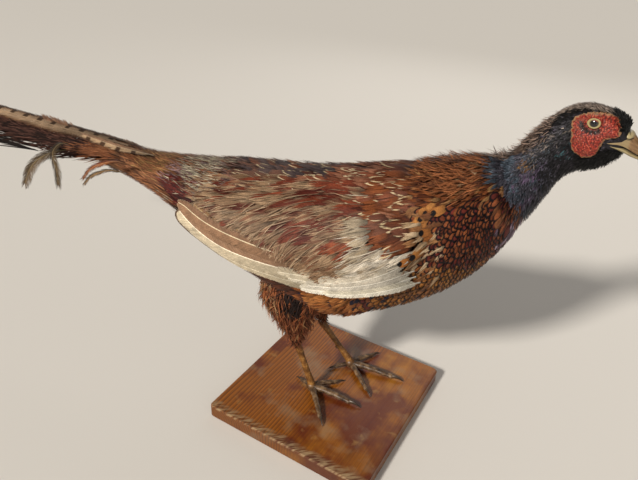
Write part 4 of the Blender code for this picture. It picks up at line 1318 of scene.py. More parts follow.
# %% [markdown]
# ## Side feathers over the wing's front edge
#
# The buff side feathers of the breast are long and loose and fall over the front of the wing, so
# that its wrist is hidden. Some carry a black spot near the tip.
# %% Side feathers
for side in ("right", "left"):
    rng = np.random.default_rng(95)
    a, b, _ = roots(hull, lambda _: 5.5, lambda _: 5.5, 96, (0.2, 0.6), 0.5)
    a, b = pick(b < 0.5, a, b)
    p = hull.at(a, b)[0]
    x, z = p[:, 0], p[:, 2]
    centre = np.interp(z, (188, 205, 220, 235, 262), (84, 92, 92, 92, 88))
    a, b, x, z = pick((np.abs(x - centre) < 13) & (z > 188) & (z < 266), a, b, x, z)
    n = len(a)
    tint, dye = palette(n, rng)
    dye(1, "683e24 9c6e46", "3c2214 644630", 1.1, 0.5)
    dye(ease(z, 205, 225) * 0.35, "94795a c0a686", "6c5238 94785a", 1.0, 0.5)
    dye(ease(250 - z, 0, 20) * 0.30, "7c4620 b07038", "3c2012 5a3820", 1.0, 0.5,
        "0a0606 140c0a", SPOT, 0.08)
    turn = -(np.radians(34) + rng.normal(0, 0.2, n) - lie_slope(hull, a, b))
    b, turn = mirrored(side, b, turn)
    fall = lay(hull, a, b, 15 + 7 * rng.random(n), 4.6, -2.4, 1.6 + 1.6 * rng.random(n), tint, 97,
        turn=turn, blades=9, cuts=4, blunt=0.5, fray=0.45, wander=0.08, curl=0.8, shade=0.15, ends=0.18,
        lock=2)
    gather("coat_side_" + side, [fall], trunk_down, "trunk_plumage")

# %% [markdown]
# A few of the side feathers lie singly, each with a bold black spot.
# %% Spotted feathers
SPOTTED = np.array(((68, 220), (77, 230), (86.5, 264), (80, 246)), float)


def place_on(ground, x, z):
    """Parameters of the grid point of the right side closest to a side-view place."""
    table = ground.table[:, :BODY_ROUND // 2]
    far = np.hypot(table[..., 0] - x, table[..., 2] - z)
    i, j = np.unravel_index(far.argmin(), far.shape)
    return i / ground.rows, j / ground.columns


single_a, single_b = np.array([place_on(hull, x + 11, z + 7) for x, z in SPOTTED]).T
n = len(SPOTTED)
for side in ("right", "left"):
    rng = np.random.default_rng(98)
    tint, dye = palette(n, rng)
    dye(1, "945a2a b8803f", "5a3418 6a4422", 0.8, 0.5, "0a0606 120a0a", SPOT)
    turn = -(np.radians(30) - lie_slope(hull, single_a, single_b)) + rng.normal(0, 0.15, n)
    b, turn = mirrored(side, single_b, turn)
    singles = lay(hull, single_a, b, 14 + 2 * rng.random(n), 7.5, -1.0, 3.2, tint, 99, turn=turn,
        blades=10, cuts=5, blunt=0.34, fray=0.08, wander=0.03, curl=0.3, shade=0.08, ends=0.08)
    gather("coat_spotted_" + side, [singles], trunk_down, "trunk_plumage")

# %% [markdown]
# ## The wing's bed
#
# Below the soft feathers lies the wing's own arm and skin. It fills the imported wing's outline a
# little under its outer face, and the flight quills are laid on it.
# %% Wing beds
bed_hide, node = new_finish("wing_skin")
dust = node("TexNoise", node("TexCoord", out="Object"), None, 260.0, 3.0)
node("OutputMaterial",
    node("BsdfPrincipled",
    {"Base Color": node("ValToRGB", dust, stops=((0.3, "3c2a1e"), (0.7, "6d5540"))), "Roughness": 0.85}))
BED_ROWS, BED_COLUMNS = 90, 36
u, v = np.meshgrid(np.linspace(0, 1, BED_ROWS), np.linspace(0, 1, BED_COLUMNS), indexing="ij")
low = smooth(WING_LOW, u * (len(WING_LOW) - 1))
high = smooth(WING_HIGH, u * (len(WING_HIGH) - 1))
bed = low + (high - low) * (0.03 + 0.94 * v)[..., None]
bed[..., 0] = np.minimum(bed[..., 0], 76)
bed_out = sample_chart(wing_full, bed[..., 0], bed[..., 1]) - 2.5 * ease(bed[..., 0], 40, 70)
ids = np.arange(BED_ROWS * BED_COLUMNS).reshape(BED_ROWS, BED_COLUMNS)
border = np.concatenate([ids[0], ids[1:, -1], ids[-1, -2::-1], ids[-2:0:-1, 0]])
wall = np.stack([border, np.roll(border, -1), np.roll(border, -1) + ids.size, border + ids.size], -1)
for side, sign in SIDES:
    faces = [np.stack([bed[..., 0], sign * (bed_out - deep), bed[..., 1]], -1).reshape(-1, 3)
        for deep in (3.4, 6.4)]
    piece("wing_bed_" + side, np.concatenate(faces),
        [grid_faces(*ids.shape), grid_faces(*ids.shape, first=ids.size), wall], bed_hide, "wing_plumage",
        ("wing_" + side,))
print("wing beds", bed.shape[:2])

# %% [markdown]
# ## Quills: a shaft and its barbs
#
# A flight feather is a stiff shaft with hundreds of barbs set at a slant on both sides. At arm's
# length the barbs read as fine slanting lines, so each is a flat blade here, leaving the shaft at
# about 35 degrees and ending at the vane's outline. Two vanes of different widths and colours are
# what makes a wing feather look like one: the narrow outer vane is cream, the broad inner one tan.
# %% Quill maker
def quill(ground, path, width, height, tone, seed, pitch=1.1, slant=35.0, split=0.03, fray=0.05,
        shaft=(1.1, 0.35), column=(0, 1), fringe=0.0, cup=0.05):
    """One quill. `path` is a table of (a, b) on the ground. `width(t, side)` is the vane's width in
    mm, `tone(t, side, v)` its colours, `height` how far it stands off the ground in mm.
    """
    rng = np.random.default_rng(seed)
    t = np.linspace(0, 1, 61)
    line = smooth(path, t * (len(path) - 1))
    spot = ground.at(line[:, 0], line[:, 1])
    step = np.linalg.norm(np.diff(spot[0], axis=0), axis=1)
    arc = np.append(0, np.cumsum(step))
    length = arc[-1]

    def along(distance):
        """Chart places and directions a distance along the shaft, running on past its tip."""
        at = np.interp(distance, arc, t)
        past = np.maximum(distance - length, 0)
        place = smooth(path, at * (len(path) - 1))
        ahead = smooth(path, np.minimum(at + 0.01, 1) * (len(path) - 1)) - smooth(
            path, np.maximum(at - 0.01, 0) * (len(path) - 1))
        _, _, la, lb = ground.at(place[..., 0], place[..., 1])
        flow = unit(np.stack([ahead[..., 0] * la, ahead[..., 1] * lb], -1))
        place = place + np.stack([flow[..., 0] * past / la, flow[..., 1] * past / lb], -1)
        return place, flow, la, lb

    count = int(length / pitch)
    start = 0.04 + 0.96 * (np.arange(count) + 0.5) / count
    blocks = []
    for side in (-1, 1):
        s = np.clip(start + rng.normal(0, 0.15, count) / count, 0, 1)
        wide = width(s, side) * (1 - fray * rng.random(count) ** 2)
        groups = np.cumsum(rng.random(count) < split)
        lean = rng.normal(0, 1, groups[-1] + 1)[groups] * 0.5
        v = np.array([0, 0, 0.45, 0.45, 0.8, 0.8, 1.0])
        half = pitch * np.array([-.62, .62, -.62, .62, -.45, .45, 0])
        run_on = 1 / math.tan(math.radians(slant))
        reach = wide[:, None] * v
        distance = (s * length)[:, None] + reach * run_on * (1 - 0.25 * v) + half + lean[:, None] * v ** 2
        distance = distance + fringe * rng.random(count)[:, None] * v ** 3 * 6
        sideways = side * (reach + fringe * rng.normal(0, 1.0, count)[:, None] * v ** 2)
        place, flow, la, lb = along(distance)
        chart = place + np.stack([-flow[..., 1] * sideways / la, flow[..., 0] * sideways / lb], -1)
        where, normal, _, _ = ground.at(chart[..., 0], chart[..., 1])
        lift = (height(s)[:, None] - cup * reach * v + rng.normal(0, 0.05, count)[:, None]
            + fringe * rng.normal(0, 1.2, count)[:, None] * v ** 2)
        points = where + normal * lift[..., None]
        edge = wide[:, None] * (1 - v)
        share = np.clip(distance / length, 0, 1)
        vane = np.stack([np.broadcast_to(side * v, edge.shape), share, edge], -1)
        colours = tone(share, side, np.broadcast_to(v, edge.shape))
        tint = 1 + rng.normal(0, 0.07, (count, 1, 1))
        colours["ground"][..., :3] *= tint
        blocks.append((points, vane, colours, np.broadcast_to(side * v, edge.shape), share))
    # the shaft: a low ridge of two strips
    cuts = 25
    stations = np.linspace(0, 1, cuts)
    place, flow, la, lb = along(stations * length)
    thick = shaft[0] + (shaft[1] - shaft[0]) * stations
    ridge = []
    for offset, rise in ((-0.5, -0.05), (0.0, 0.45), (0.5, -0.05)):
        out = offset * thick
        chart = place + np.stack([-flow[:, 1] * out / la, flow[:, 0] * out / lb], -1)
        where, normal, _, _ = ground.at(chart[:, 0], chart[:, 1])
        ridge.append(where + normal * (height(stations) + rise * thick)[:, None])
    ridge = np.stack(ridge, 1)
    down_shaft = np.repeat(stations, 3)
    points = np.concatenate([b[0].reshape(-1, 3) for b in blocks] + [ridge.reshape(-1, 3)])
    vane = np.concatenate([b[1].reshape(-1, 3) for b in blocks]
        + [np.stack([0 * down_shaft, down_shaft, np.full(3 * cuts, 9.0)], -1)])
    rachis = tone(down_shaft, 0, 0 * down_shaft)
    tints = {key: np.concatenate([b[2][key].reshape(-1, 4) for b in blocks] + [rachis[key]])
        for key in ("ground", "edge", "mark", "marks")}
    across = np.concatenate([b[3].reshape(-1) for b in blocks] + [0 * down_shaft])
    down = np.concatenate([b[4].reshape(-1) for b in blocks] + [down_shaft])
    place, total = column
    uv = np.stack([(place + 0.5 + 0.46 * across) / total, 0.01 + 0.98 * down], -1)
    barbs = (np.arange(2 * count) * 7)[:, None, None]
    quads = np.concatenate([(np.array([[0, 1, 3, 2], [2, 3, 5, 4]]) + barbs).reshape(-1, 4),
        grid_faces(cuts, 3, first=14 * count)])
    tris = (np.array([[4, 5, 6]]) + barbs).reshape(-1, 3)
    return dict(points=points, faces=[quads, tris], uv=uv, vane=vane, ground_tint=tints["ground"],
        edge_tint=tints["edge"], mark_tint=tints["mark"], marks=tints["marks"])


def even_tone(codes, edge=None, edge_mm=1.0, edge_on=1.0, mark=None, marks=(0, 0, 0, 0)):
    """Colours of a quill: outer vane, inner vane and shaft as hex, with an edge and a mark."""
    outer, inner, rachis = (srgb(code) for code in codes.split())

    def tone(t, side, v):
        colours = blank_tint(t.shape)
        colours["ground"][..., :3] = {-1: outer, 1: inner, 0: rachis}[side]
        colours["ground"][..., 3] = edge_mm
        if edge and side:
            colours["edge"][..., :3], colours["edge"][..., 3] = srgb(edge), edge_on
        if mark and side:
            colours["mark"][..., :3], colours["mark"][..., 3] = srgb(mark), 1.0
            colours["marks"][:] = marks
        return colours

    return tone


# %% Flight quills
def chart_place(x, z):
    """A side-view place as a and b on the wing's chart."""
    return ((CHART_X[0] - x) / (CHART_X[0] - CHART_X[-1]), (z - CHART_Z[0]) / (CHART_Z[-1] - CHART_Z[0]))


def flight_width(outer, inner):
    def width(t, side):
        body_part = np.minimum(1, 0.3 + 4.0 * t) * np.sqrt(np.clip((1 - t) / 0.10, 0, 1)) ** 0.8
        return (outer if side < 0 else inner) * body_part * (1 - 0.25 * t) + 0.15
    return width


# Shafts from root to tip as side-view places, then the widths of the outer and the inner vane,
# the height off the wing's face, and the colours of outer vane, inner vane and shaft.
PRIMARIES = (
    (((30, 181), (-30, 179), (-84, 181), (-120, 190)), 5.5, 9, -2.2, "c8baa0 a88e70 dccfb4"),
    (((26, 183), (-32, 180.5), (-90, 182), (-134, 197)), 7.5, 9, -1.7, "c2b296 a3886a dccfb4"),
    (((22, 197), (-20, 194), (-62, 193.5), (-102, 198), (-146, 215)), 18.0, 10, -1.0,
     "c9b99d 96745a fff0d6"),
    (((20, 207), (-48, 208), (-104, 213.5), (-148, 222.5)), 12.0, 8, -0.6, "8c6a50 7c5c45 dcc8a6"),
    (((22, 212), (-40, 211), (-96, 217), (-130, 225)), 7.0, 5, -1.4, "8a6848 80603f b09670"),
)
# The white coverts under the wrist, in the same way.
WHITE_COVERTS = (
    (((84, 214), (56, 196), (18, 183), (-12, 178)), 5.5, 8, 0.2, "dad2c2 cfc6b4 ece5d6"),
    (((82, 219), (56, 203), (24, 190), (-6, 184)), 6.0, 8, 0.5, "d6cdbd cac0ae e8e0d0"),
    (((76, 227), (60, 213), (34, 199), (6, 191)), 6.0, 8, 0.8, "cdc3b2 c0b5a2 e0d7c6"),
    (((60, 209), (34, 197), (8, 189), (-24, 186)), 5.0, 8, -0.3, "c4b9a4 b6a992 d8cebb"),
    (((48, 214), (22, 202), (-4, 194), (-34, 190)), 5.0, 8, -0.2, "bbae97 aa9c85 cfc4ae"),
    (((88, 210), (60, 194), (34, 184), (10, 179)), 4.5, 6, 0.9, "d0c8b7 c6bda9 e0d9c8"),
)
for side, sign in SIDES:
    made = []
    for number, (shaft_line, outer, inner, lift, colours) in enumerate(PRIMARIES + WHITE_COVERTS):
        path = [chart_place(x, z) for x, z in shaft_line]
        white = number >= len(PRIMARIES)
        tone = even_tone(colours, "efe6d2" if white else "d8c8a8", 0.8, 0.35)
        made.append(quill(flank_grounds[side], path, flight_width(outer, inner), lambda t,
            lift=lift: lift + 0.8 * t, tone, 100 + number + 20 * (sign > 0), pitch=1.0, split=0.05,
            fray=0.10 if white else 0.05, shaft=(1.3, 0.8), column=(number, 11)))
    gather("quills_wing_" + side, made, wing_down, "wing_plumage")

# %% [markdown]
# ## Thigh plumes
#
# Dark brown plumes 11 to 26 mm long hang down each thigh to the hock and hide where the leg
# goes in. They are hair-like too, and some stand out where the old skin has dried.
# %% Thigh plumes
for side, ground in thighs.items():
    sign = -1 if side == "right" else 1
    rng = np.random.default_rng(120 + (sign > 0))
    a, b = scatter(ground, 4200, 121 + (sign > 0), lambda a, b, p: a < 0.93)
    p = ground.at(a, b)[0]
    tint, dye = palette(len(a), rng)
    dye(1, "4a2211 8c4e2c", "2e140b 52301e", 0.5, 0.4)
    dye(ease(p[:, 2], 118, 150) * 0.40, "74391c 9c5e34")
    dye(ease(-40 - p[:, 0], 0, 25) * 0.30, "6c4e34 a07c58")
    wild = rng.random(len(a)) < 0.30
    dye((rng.random(len(a)) < 0.10) * 1.0, "784c2c a67c52")
    patch = ease(16 - np.hypot(p[:, 0] + 29, (p[:, 2] - 148) * 0.9), 0, 5)
    dye(patch * 0.92, "120804 22100a")
    plumes = lay(ground, a, b, (11 + 8 * rng.random(len(a)) + 7 * wild) * (1 - 0.30 * a), 1.0,
        -2.8 + 1.6 * a, 0.3 + 1.4 * rng.random(len(a)) + 7.0 * wild * rng.random(len(a)), tint,
        123 + (sign > 0), turn=rng.normal(0, 0.25 + 0.3 * wild, len(a)), blades=2, cuts=4, blunt=0.3,
        fray=0.5, wander=0.25, bend=rng.normal(0, 0.3, len(a)), curl=0.6, shade=0.25)
    gather("coat_thigh_" + side, [plumes], thigh_down, "thigh_plumage")

# %% [markdown]
# ## The tail
#
# A cock's tail is a roof of long feathers in pairs. The middle pair is buff with short dark bars
# every 19 mm and a soft maroon fringe; the pairs under it are darker. Each feather lies on a
# surface of its own, a long sloping strip at its place in the roof, and is a quill on that strip.
# %% Tail feathers
TAIL_ROOT, TAIL_Z, TAIL_RISE, TAIL_ROOF = -264.6, 248.5, 0.068, math.radians(23.0)
TAIL_TIPS, TAIL_HALF = (-612, -575, -520, -455), (13.0, 13.0, 12.5, 12.0)
TAIL_SPREAD, TAIL_SAG, TAIL_PLY = (10.5, 15.5, 20.5, 26.0), (0.0, 1.0, 4.0, 13.0), 2.0
BAR_STEP = 19.0          # mm from one dark bar to the next
UNDER_COVERTS = 26.0     # how far the quills run in under the coverts
TAIL_GATHER = (0.50, 0.72, 0.74, 0.76)     # how the spread shrinks where worn vanes have closed up


def tail_ground(number, sign):
    """The strip that one tail feather lies on: a along it, b across, 0.5 on its shaft."""
    x, w = np.meshgrid(np.linspace(TAIL_ROOT + UNDER_COVERTS, TAIL_TIPS[number], 121),
        np.linspace(-1, 1, 41), indexing="ij")
    behind = np.maximum(TAIL_ROOT - x, 0)
    spread = 8 + (TAIL_SPREAD[number] - 8) * np.sin(np.pi / 2 * np.minimum(1, behind / 80))
    spread = np.maximum(spread, TAIL_HALF[number] * (0.45 + 0.55 * np.minimum(1, behind / 60)))
    ridge = TAIL_Z + TAIL_RISE * (TAIL_ROOT - x) - 10 * (np.maximum(-420 - x, 0) / 190) ** 2
    droop = (ridge - number * TAIL_PLY / math.cos(TAIL_ROOF)
        - TAIL_SAG[number] * 0.62 * (behind / 200) ** 1.6)
    # the middle pair lies on the roof's ridge and narrows with its feathers
    out = spread * TAIL_GATHER[number] * (1 - 0.35 * np.minimum(1, behind / 300)) + w * 20
    slope = np.sqrt(out ** 2 + 9) - 3
    return Ground(np.stack([x, sign * (out * math.cos(TAIL_ROOF) + 0.1),
        droop - slope * math.sin(TAIL_ROOF)], -1), False, np.array([0.0, sign * 0.4, 0.9]), (0.01, 0.98))


def tail_width(half, inner_share):
    def width(t, side):
        shape = np.minimum(1, 0.55 + 2.2 * t) * (1 - 0.62 * np.maximum(0, (t - 0.25) / 0.75) ** 1.3)
        tip = np.minimum(1, np.sqrt(np.clip((1 - t) / 0.06, 0, 1)) * 0.75 + 0.12)
        return half * shape * tip * (inner_share if side < 0 else 1.0)
    return width


def tail_tone(codes, length):
    """A middle and a margin with dark bars across them, every BAR_STEP."""
    inner, outer, dark = (srgb(code) for code in codes.split())

    def tone(t, side, v):
        colours = blank_tint(t.shape)
        mix = ease(v, 0.62, 0.88)[..., None]
        colours["ground"][..., :3] = inner * (1 - mix) + outer * mix
        colours["ground"][..., 3] = 1.0
        if side:
            colours["mark"][..., :3] = dark
            colours["mark"][..., 3] = 1.0
            colours["marks"][..., 3] = length / BAR_STEP
        return colours

    return tone


TAIL_LOOKS = ("ae9072 7a5238 47301e", "5c3a2c 3c2018 22140e", "4a2c22 30190f 1a100c",
    "3a231b 26150f 160d0a")
# From the middle pair outwards: the barbs' slant, how often they split, and how frayed they are.
TAIL_WEAR = ((26, 0.06, 0.15, 0.35), (20, 0.3, 0.5, 1.0), (18, 0.35, 0.6, 1.2), (18, 0.35, 0.6, 1.2))
MIDDLE_NARROWER = 0.88
for side, sign in SIDES:
    for number, (slant, split, fray, fringe) in enumerate(TAIL_WEAR):
        half = TAIL_HALF[number] * (1 if number else MIDDLE_NARROWER)
        # the right middle feather overlaps the left one
        lift = 0.2 if number else 1.6 if side == "right" else 0.4
        length = TAIL_ROOT + UNDER_COVERTS - TAIL_TIPS[number]
        # b runs outwards on both sides, so the inner vane is always the one on the smaller b
        vanes = quill(tail_ground(number, sign), ((0.0, 0.5), (0.33, 0.5), (0.66, 0.5), (1.0, 0.5)),
            tail_width(half, 0.85), lambda t, lift=lift: lift + 0.4 * t,
            tail_tone(TAIL_LOOKS[number], length), 140 + number + 5 * (sign > 0), pitch=1.3, slant=slant,
            split=split, fray=fray, shaft=(1.8, 0.5), fringe=fringe, cup=0.02)
        gather(f"vane_{side}_{number + 1}", [vanes], tail_down, "tail_plumage",
            (f"tail_{side}_{number + 1}",))

# %% [markdown]
# ## Loose plumes over the tail's root
#
# Rusty plumes run from the rump out over the first hand's breadth of the tail, and dark hair-like
# barbs trail along its lower edge. They break the tail's clean outline, as on the old mount.
# %% Tail plumes
fringes = []
for sign in (-1, 1):
    rng = np.random.default_rng(160 + sign)
    count = 900
    a = rng.random(count) ** 1.5 * 0.62
    b = 0.5 + rng.uniform(0.05, 0.42, count)
    tint, dye = palette(count, rng)
    dye(1, "38201a 64443a")
    dye((rng.random(count) < 0.5) * 1.0, "170e0b 2c1a13")
    dye((1 - ease(a, 0.04, 0.18)) * 0.85, "6c3c22 986444")
    fringes.append(hairs(tail_ground(1, sign), a, b, rng, 162 + sign, lambda r: 16 + 18 * r, 0.9, -0.5,
        lambda r: 0.8 + 2 * r, tint, (0.12, 0.12), (0.1, 0.25), cuts=5, fray=0.3, curl=0.5))
    a = rng.random(700) ** 1.3 * 0.9
    b = rng.uniform(0.3, 0.9, 700) - 0.25 * ease(a, 0.2, 0.4) * rng.random(700)
    tint, dye = palette(700, rng)
    dye(1, "1c100c 4a2c22")
    dye((1 - ease(a, 0.06, 0.24)) * 0.7, "5c3018 84512e")
    ahead = ease(a, 0.2, 0.4)
    fringes.append(hairs(tail_ground(3, sign), a, b, rng, 165 + sign,
        lambda r: (20 + 20 * r) * (1 - 0.35 * ahead), 1.0, -0.5,
        lambda r: 0.4 - 3 * r * (1 - 0.8 * ahead), tint, (0.10, 0.14), (0.12, 0.3), cuts=5, fray=0.3,
        wander=0.5))
# a lock of the middle feather has broken up and stands above the tail, and dark threads line the ridge
LOCK, THREADS = 90, 500     # barbs of each kind


def both(lock, threads, draw):
    """Random numbers for the lock and then for the threads."""
    return np.append(draw(*lock, LOCK), draw(*threads, THREADS))


rng = np.random.default_rng(172)
a = both((0.20, 0.30), (0.02, 0.75), rng.uniform)
b = both((0.26, 0.42), (0.16, 0.36), rng.uniform)
tint, dye = palette(LOCK + THREADS, rng)
dye(1, "2a1a12 5c3c2a")
dye(np.arange(LOCK + THREADS) < LOCK, "7a5440 b0886a")
stand = both((1.5, 6.5), (0.8, 2.4), rng.uniform)
long = both((14, 24), (14, 26), rng.uniform)
fringes.append(lay(tail_ground(0, -1), a, b, long, 0.9, 0.6, stand, tint, 173,
    turn=both((-0.30, 0.10), (-0.04, 0.06), rng.normal), blades=1, cuts=5, blunt=0, fray=0.3, wander=0.4,
    bend=rng.normal(0.05, 0.2, LOCK + THREADS)))
# a few loose dark feathers trail below the tip end
LOOSE = 60
a = rng.uniform(0.45, 0.62, LOOSE)
b = rng.choice((0.45, 0.62, 0.78, 0.9), LOOSE) + rng.normal(0, 0.012, LOOSE)
tint, dye = palette(LOOSE, rng)
dye(1, "0e0b0a 241a16")
fringes.append(lay(tail_ground(3, -1), a, b, rng.uniform(45, 75, LOOSE), 1.6, -1.0,
    rng.uniform(-3.5, 0.5, LOOSE), tint, 174, turn=rng.normal(0.02, 0.05, LOOSE), blades=2, cuts=7,
    blunt=0, fray=0.2, wander=0.5, bend=rng.normal(0, 0.12, LOOSE)))
gather("coat_tail_fringe", fringes, tail_down, "tail_plumage")

# %% [markdown]
# ## Bent feathers
#
# A few coverts have come loose and hang from the right side of the tail, and one barred covert
# lies on its root. Each is a ribbon with its own narrow surface along a bent line.
# %% Bent feathers
# The bent line's points, half width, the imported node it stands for, and the colours.
DROOPS = {
    "loose_feather_1": (
        ((-286, -36, 250), (-294, -40, 251), (-302, -43, 243), (-303.5, -44, 234), (-301, -45, 222),
         (-302, -46, 206)), 4.2, ("bent_feather_1",), "5c4a32 3c2e1e 847050"),
    "loose_feather_2": (
        ((-292, -34, 243), (-310, -40, 238), (-327, -44, 228), (-339, -46, 215), (-348, -47, 199)),
        6.0, ("bent_feather_2",), "66523a 463622 8e7a58"),
    "loose_feather_3": (
        ((-210, -34, 240), (-224, -40, 245), (-240, -43, 241), (-255, -45, 233), (-266, -46, 221)),
        2.6, (), "8a5230 6c3218 a8744c"),
    "loose_feather_4": (
        ((-222, -34, 231), (-236, -39, 233), (-250, -42, 228), (-260, -43, 222), (-268, -44, 213)),
        2.2, (), "7a5c3c 5c4428 a08058"),
    "loose_feather_5": (
        ((-200, -11, 245.5), (-226, -12, 246.5), (-247, -12.5, 247.5), (-266, -13, 250),
         (-288, -13, 252.5)), 4.6, (), "ac8e6e 94735a bca284"),
}
for number, (name, (line, half, stands_for, look)) in enumerate(DROOPS.items()):
    # the last one is a barred covert that lies on the tail's root, face up
    on_top = number == 4
    face = unit(np.array([0.0, -0.5, 1.0] if on_top else [0.25, -1.0, 0.35]))
    at = np.linspace(0, len(line) - 1, 61)
    centre = smooth(line, at)
    ahead = unit(np.gradient(centre, axis=0))
    across = unit(np.cross(ahead, face))
    strip = centre[:, None] + across[:, None] * np.linspace(-12, 12, 9)[None, :, None]
    ribbon = Ground(strip, False, face, (0.01, 0.98))
    bars = ("4a3220", (0, 0, 0, 4.6)) if on_top else ()
    made = [quill(ribbon, ((0.02, 0.5), (0.35, 0.5), (0.7, 0.5), (1.0, 0.5)), lambda t, side,
        half=half: half * (0.35 + 0.85 * np.sin(np.pi * (0.12 + 0.80 * t))), lambda t: 0 * t,
        even_tone(look, "5a3c28" if on_top else "241c10", 1.3, 0.6, *bars), 180 + number, pitch=0.9,
        slant=14, split=0.16, fray=0.3, shaft=(0.9, 0.4), fringe=0.30, cup=0.25)]
    gather(name, made, tail_down, "tail_plumage", stands_for)

# %% [markdown]
# ## The wattle
#
# The bare skin stands 2 to 3 mm proud of the feathers and is covered with pimples a little over a
# millimetre apart, so it looks like a raspberry. The patch is a ring-shaped grid between the
# eyelids and the rim; the pimples are real bumps in the mesh, set on a sunflower spiral so that
# they show no rows, and each point remembers how high it stands, which the finish uses to paint
# shade into the grooves and a highlight on the pimples' tops.
# %% Wattle
PIMPLE, PIMPLES = 1.2, 1400     # mm from one to the next, and how many on a side
PATCH_X, PATCH_Z = EYE_X + 1, EYE_Z - 9     # the middle of the red patch


def pimples(x, z, seed):
    """Domes on a jittered sunflower spiral: 0 in the grooves to 1 on top."""
    k = np.arange(PIMPLES)
    rng = np.random.default_rng(seed)
    radius = PIMPLE * 0.56 * np.sqrt(k + 0.5)
    turn = k * math.pi * (3 - math.sqrt(5))
    px = PATCH_X + radius * np.cos(turn) + rng.normal(0, 0.3, PIMPLES)
    pz = PATCH_Z + radius * np.sin(turn) + rng.normal(0, 0.3, PIMPLES)
    far = np.hypot(x.ravel()[:, None] - px, z.ravel()[:, None] - pz)
    high = rng.uniform(0.45, 1.0, PIMPLES)[far.argmin(1)]
    return (high * np.sqrt(np.clip(1 - (far.min(1) / (PIMPLE * 0.56)) ** 2, 0, 1))).reshape(x.shape)


LID_X, LID_Z = 2.95, 2.6     # half the opening's length and height
wattle_skin, node = new_finish("bare_wattle_skin")
height, at_rim, feathered = node("SeparateXYZ", node("Attribute", attribute_name="relief", out="Vector"),
    out=slice(0, 3))
# painted shade and highlight: by how high each point stands, the grooves between pimples are painted dark
# and the pimples' tops light
red_with_painted_shade = node("ValToRGB", height,
    stops=((0.05, "3a0d08"), (0.32, "701b11"), (0.64, "962d1d"), (0.95, "b8664c")))
dry = node("TexNoise", node("TexCoord", out="Object"), None, 330.0, 2.0)
for amount, coat in ((node("MapRange", dry, 0.48, 0.80), rgba("6c3420")), (at_rim, rgba("a8825c")),
        (feathered, rgba("1c1613"))):
    red_with_painted_shade = node("Mix RGBA", {0: amount, 6: red_with_painted_shade, 7: coat}, out=2)
node("OutputMaterial",
    node("BsdfPrincipled", {"Base Color": red_with_painted_shade, "Roughness": 0.5, "Specular IOR Level": 0.4,
    "Coat Weight": 0.05}))

ROUND, DEEP = 260, 56
theta, q = np.meshgrid(np.arange(ROUND) / ROUND * 2 * np.pi - np.pi, np.linspace(0, 1, DEEP), indexing="ij")
theta, q = theta.T, q.T
opening = 1 / np.sqrt((np.cos(theta) / (LID_X + 0.3)) ** 2 + (np.sin(theta) / (LID_Z + 0.3)) ** 2)
ragged_rim = 0.28 * np.sin(theta * 19 + 1) + 0.22 * np.sin(theta * 31 + 2.2) + 0.15 * np.sin(theta * 53)
rim_at = np.maximum(rim_distance(theta) + ragged_rim, opening + 0.9)
reach = opening + (rim_at - opening) * q
wx, wz = EYE_X + reach * np.cos(theta), EYE_Z + reach * np.sin(theta)
side_out = np.nan_to_num(outer_side(side_tree, wx, wz, -90.0), nan=6.0)
to_rim = rim_at - reach
dome = pimples(wx, wz, 190)
plump = 2.3 * (1 - np.exp(-to_rim / 1.6)) + 0.2
near_eye = ease(reach - opening, 0.5, 4.5)
stand = plump * (0.15 + 0.85 * near_eye) + 0.55 * dome * ease(to_rim, 0.2, 1.5) - 0.3
# round the eye the skin bulges over the ball
ball_out = EYE_OUT + np.sqrt(np.maximum(EYE_RADIUS ** 2 - reach ** 2, 0)) + 0.3 - side_out
stand = np.where(reach < EYE_RADIUS, np.maximum(stand, ball_out), stand)
stand[-1] = -1.6
# a smear of tiny dark feathers hugs the lids from behind and below
SMEAR = ((176.9, 343.6), (177.6, 342.2), (179.2, 340.9), (181.4, 339.9), (184, 339.5), (186.6, 339.7),
    (188.2, 340.8))
smear = np.min([np.hypot((wx - at_x) / 1.9, (wz - at_z) / 1.7) for at_x, at_z in SMEAR], axis=0)
smear = smear + 0.45 * np.sin(wx * 4.1 + wz * 2.3) * np.sin(wz * 5.3 - wx * 1.7)
rim_wave = to_rim + 0.5 * np.sin(theta * 23) * np.sin(theta * 9 + 1) - 0.5 * (np.sin(theta) < 0.2)
# the pimples' height, which the finish turns into painted shade and highlight, then the pale rim and the
# dark smear
relief_values = np.stack([dome * 0.9 + 0.1, 0.8 * (1 - ease(rim_wave, 0.2, 1.3)),
    1 - ease(smear, 0.55, 1.1)], -1)
for side, sign in SIDES:
    points = turned(np.stack([wx, sign * (side_out + stand), wz], -1))
    face = grid_faces(DEEP, ROUND, True)
    uv = np.stack([0.5 + (wx - EYE_X) / 60, 0.5 + (wz - EYE_Z + 9) / 60], -1)
    piece("bare_face_" + side, points, [face if sign < 0 else face[:, ::-1]], wattle_skin, "wattle_skin",
        ("wattle_" + side,), uv=uv.reshape(-1, 2), relief=relief_values.reshape(-1, 3))
print("wattle grid", wx.shape, "stands out", round(float(stand.max()), 1), "mm")

# %% [markdown]
# ## Eyes and lids
#
# A taxidermist's eye is a glass dome painted behind: black pupil, yellow-brown iris with fine
# spokes and a dark outer line, and the shine of the glass over it. It looks out and a little up.
# The lids are a pale, fleshy ring pulled tight over the dome, not a full circle but an oval.
# %% Eyes and lids
glass, node = new_finish("painted_glass_eye")
away, turn_share, _ = node("SeparateXYZ", node("Attribute", attribute_name="iris", out="Vector"),
    out=slice(0, 3))
spokes = node("TexNoise", node("CombineXYZ", turn_share, 0.0), None, 3.0, 2.0)
ring = node("Math ADD", away, node("MapRange", spokes, 0.0, 1.0, -0.035, 0.035))
iris = node("ValToRGB", ring,
    stops=((0.0, "050403"), (0.30, "070605"), (0.36, "2a231a"), (0.46, "4c4232"), (0.58, "3a2f22"),
    (0.66, "1c150e"), (0.88, "2a2012")))
node("OutputMaterial",
    node("BsdfPrincipled", {"Base Color": iris, "Roughness": 0.16, "IOR": 1.5, "Coat Weight": 0.6,
    "Coat Roughness": 0.12}))
lid_skin, node = new_finish("pale_eyelid_skin")
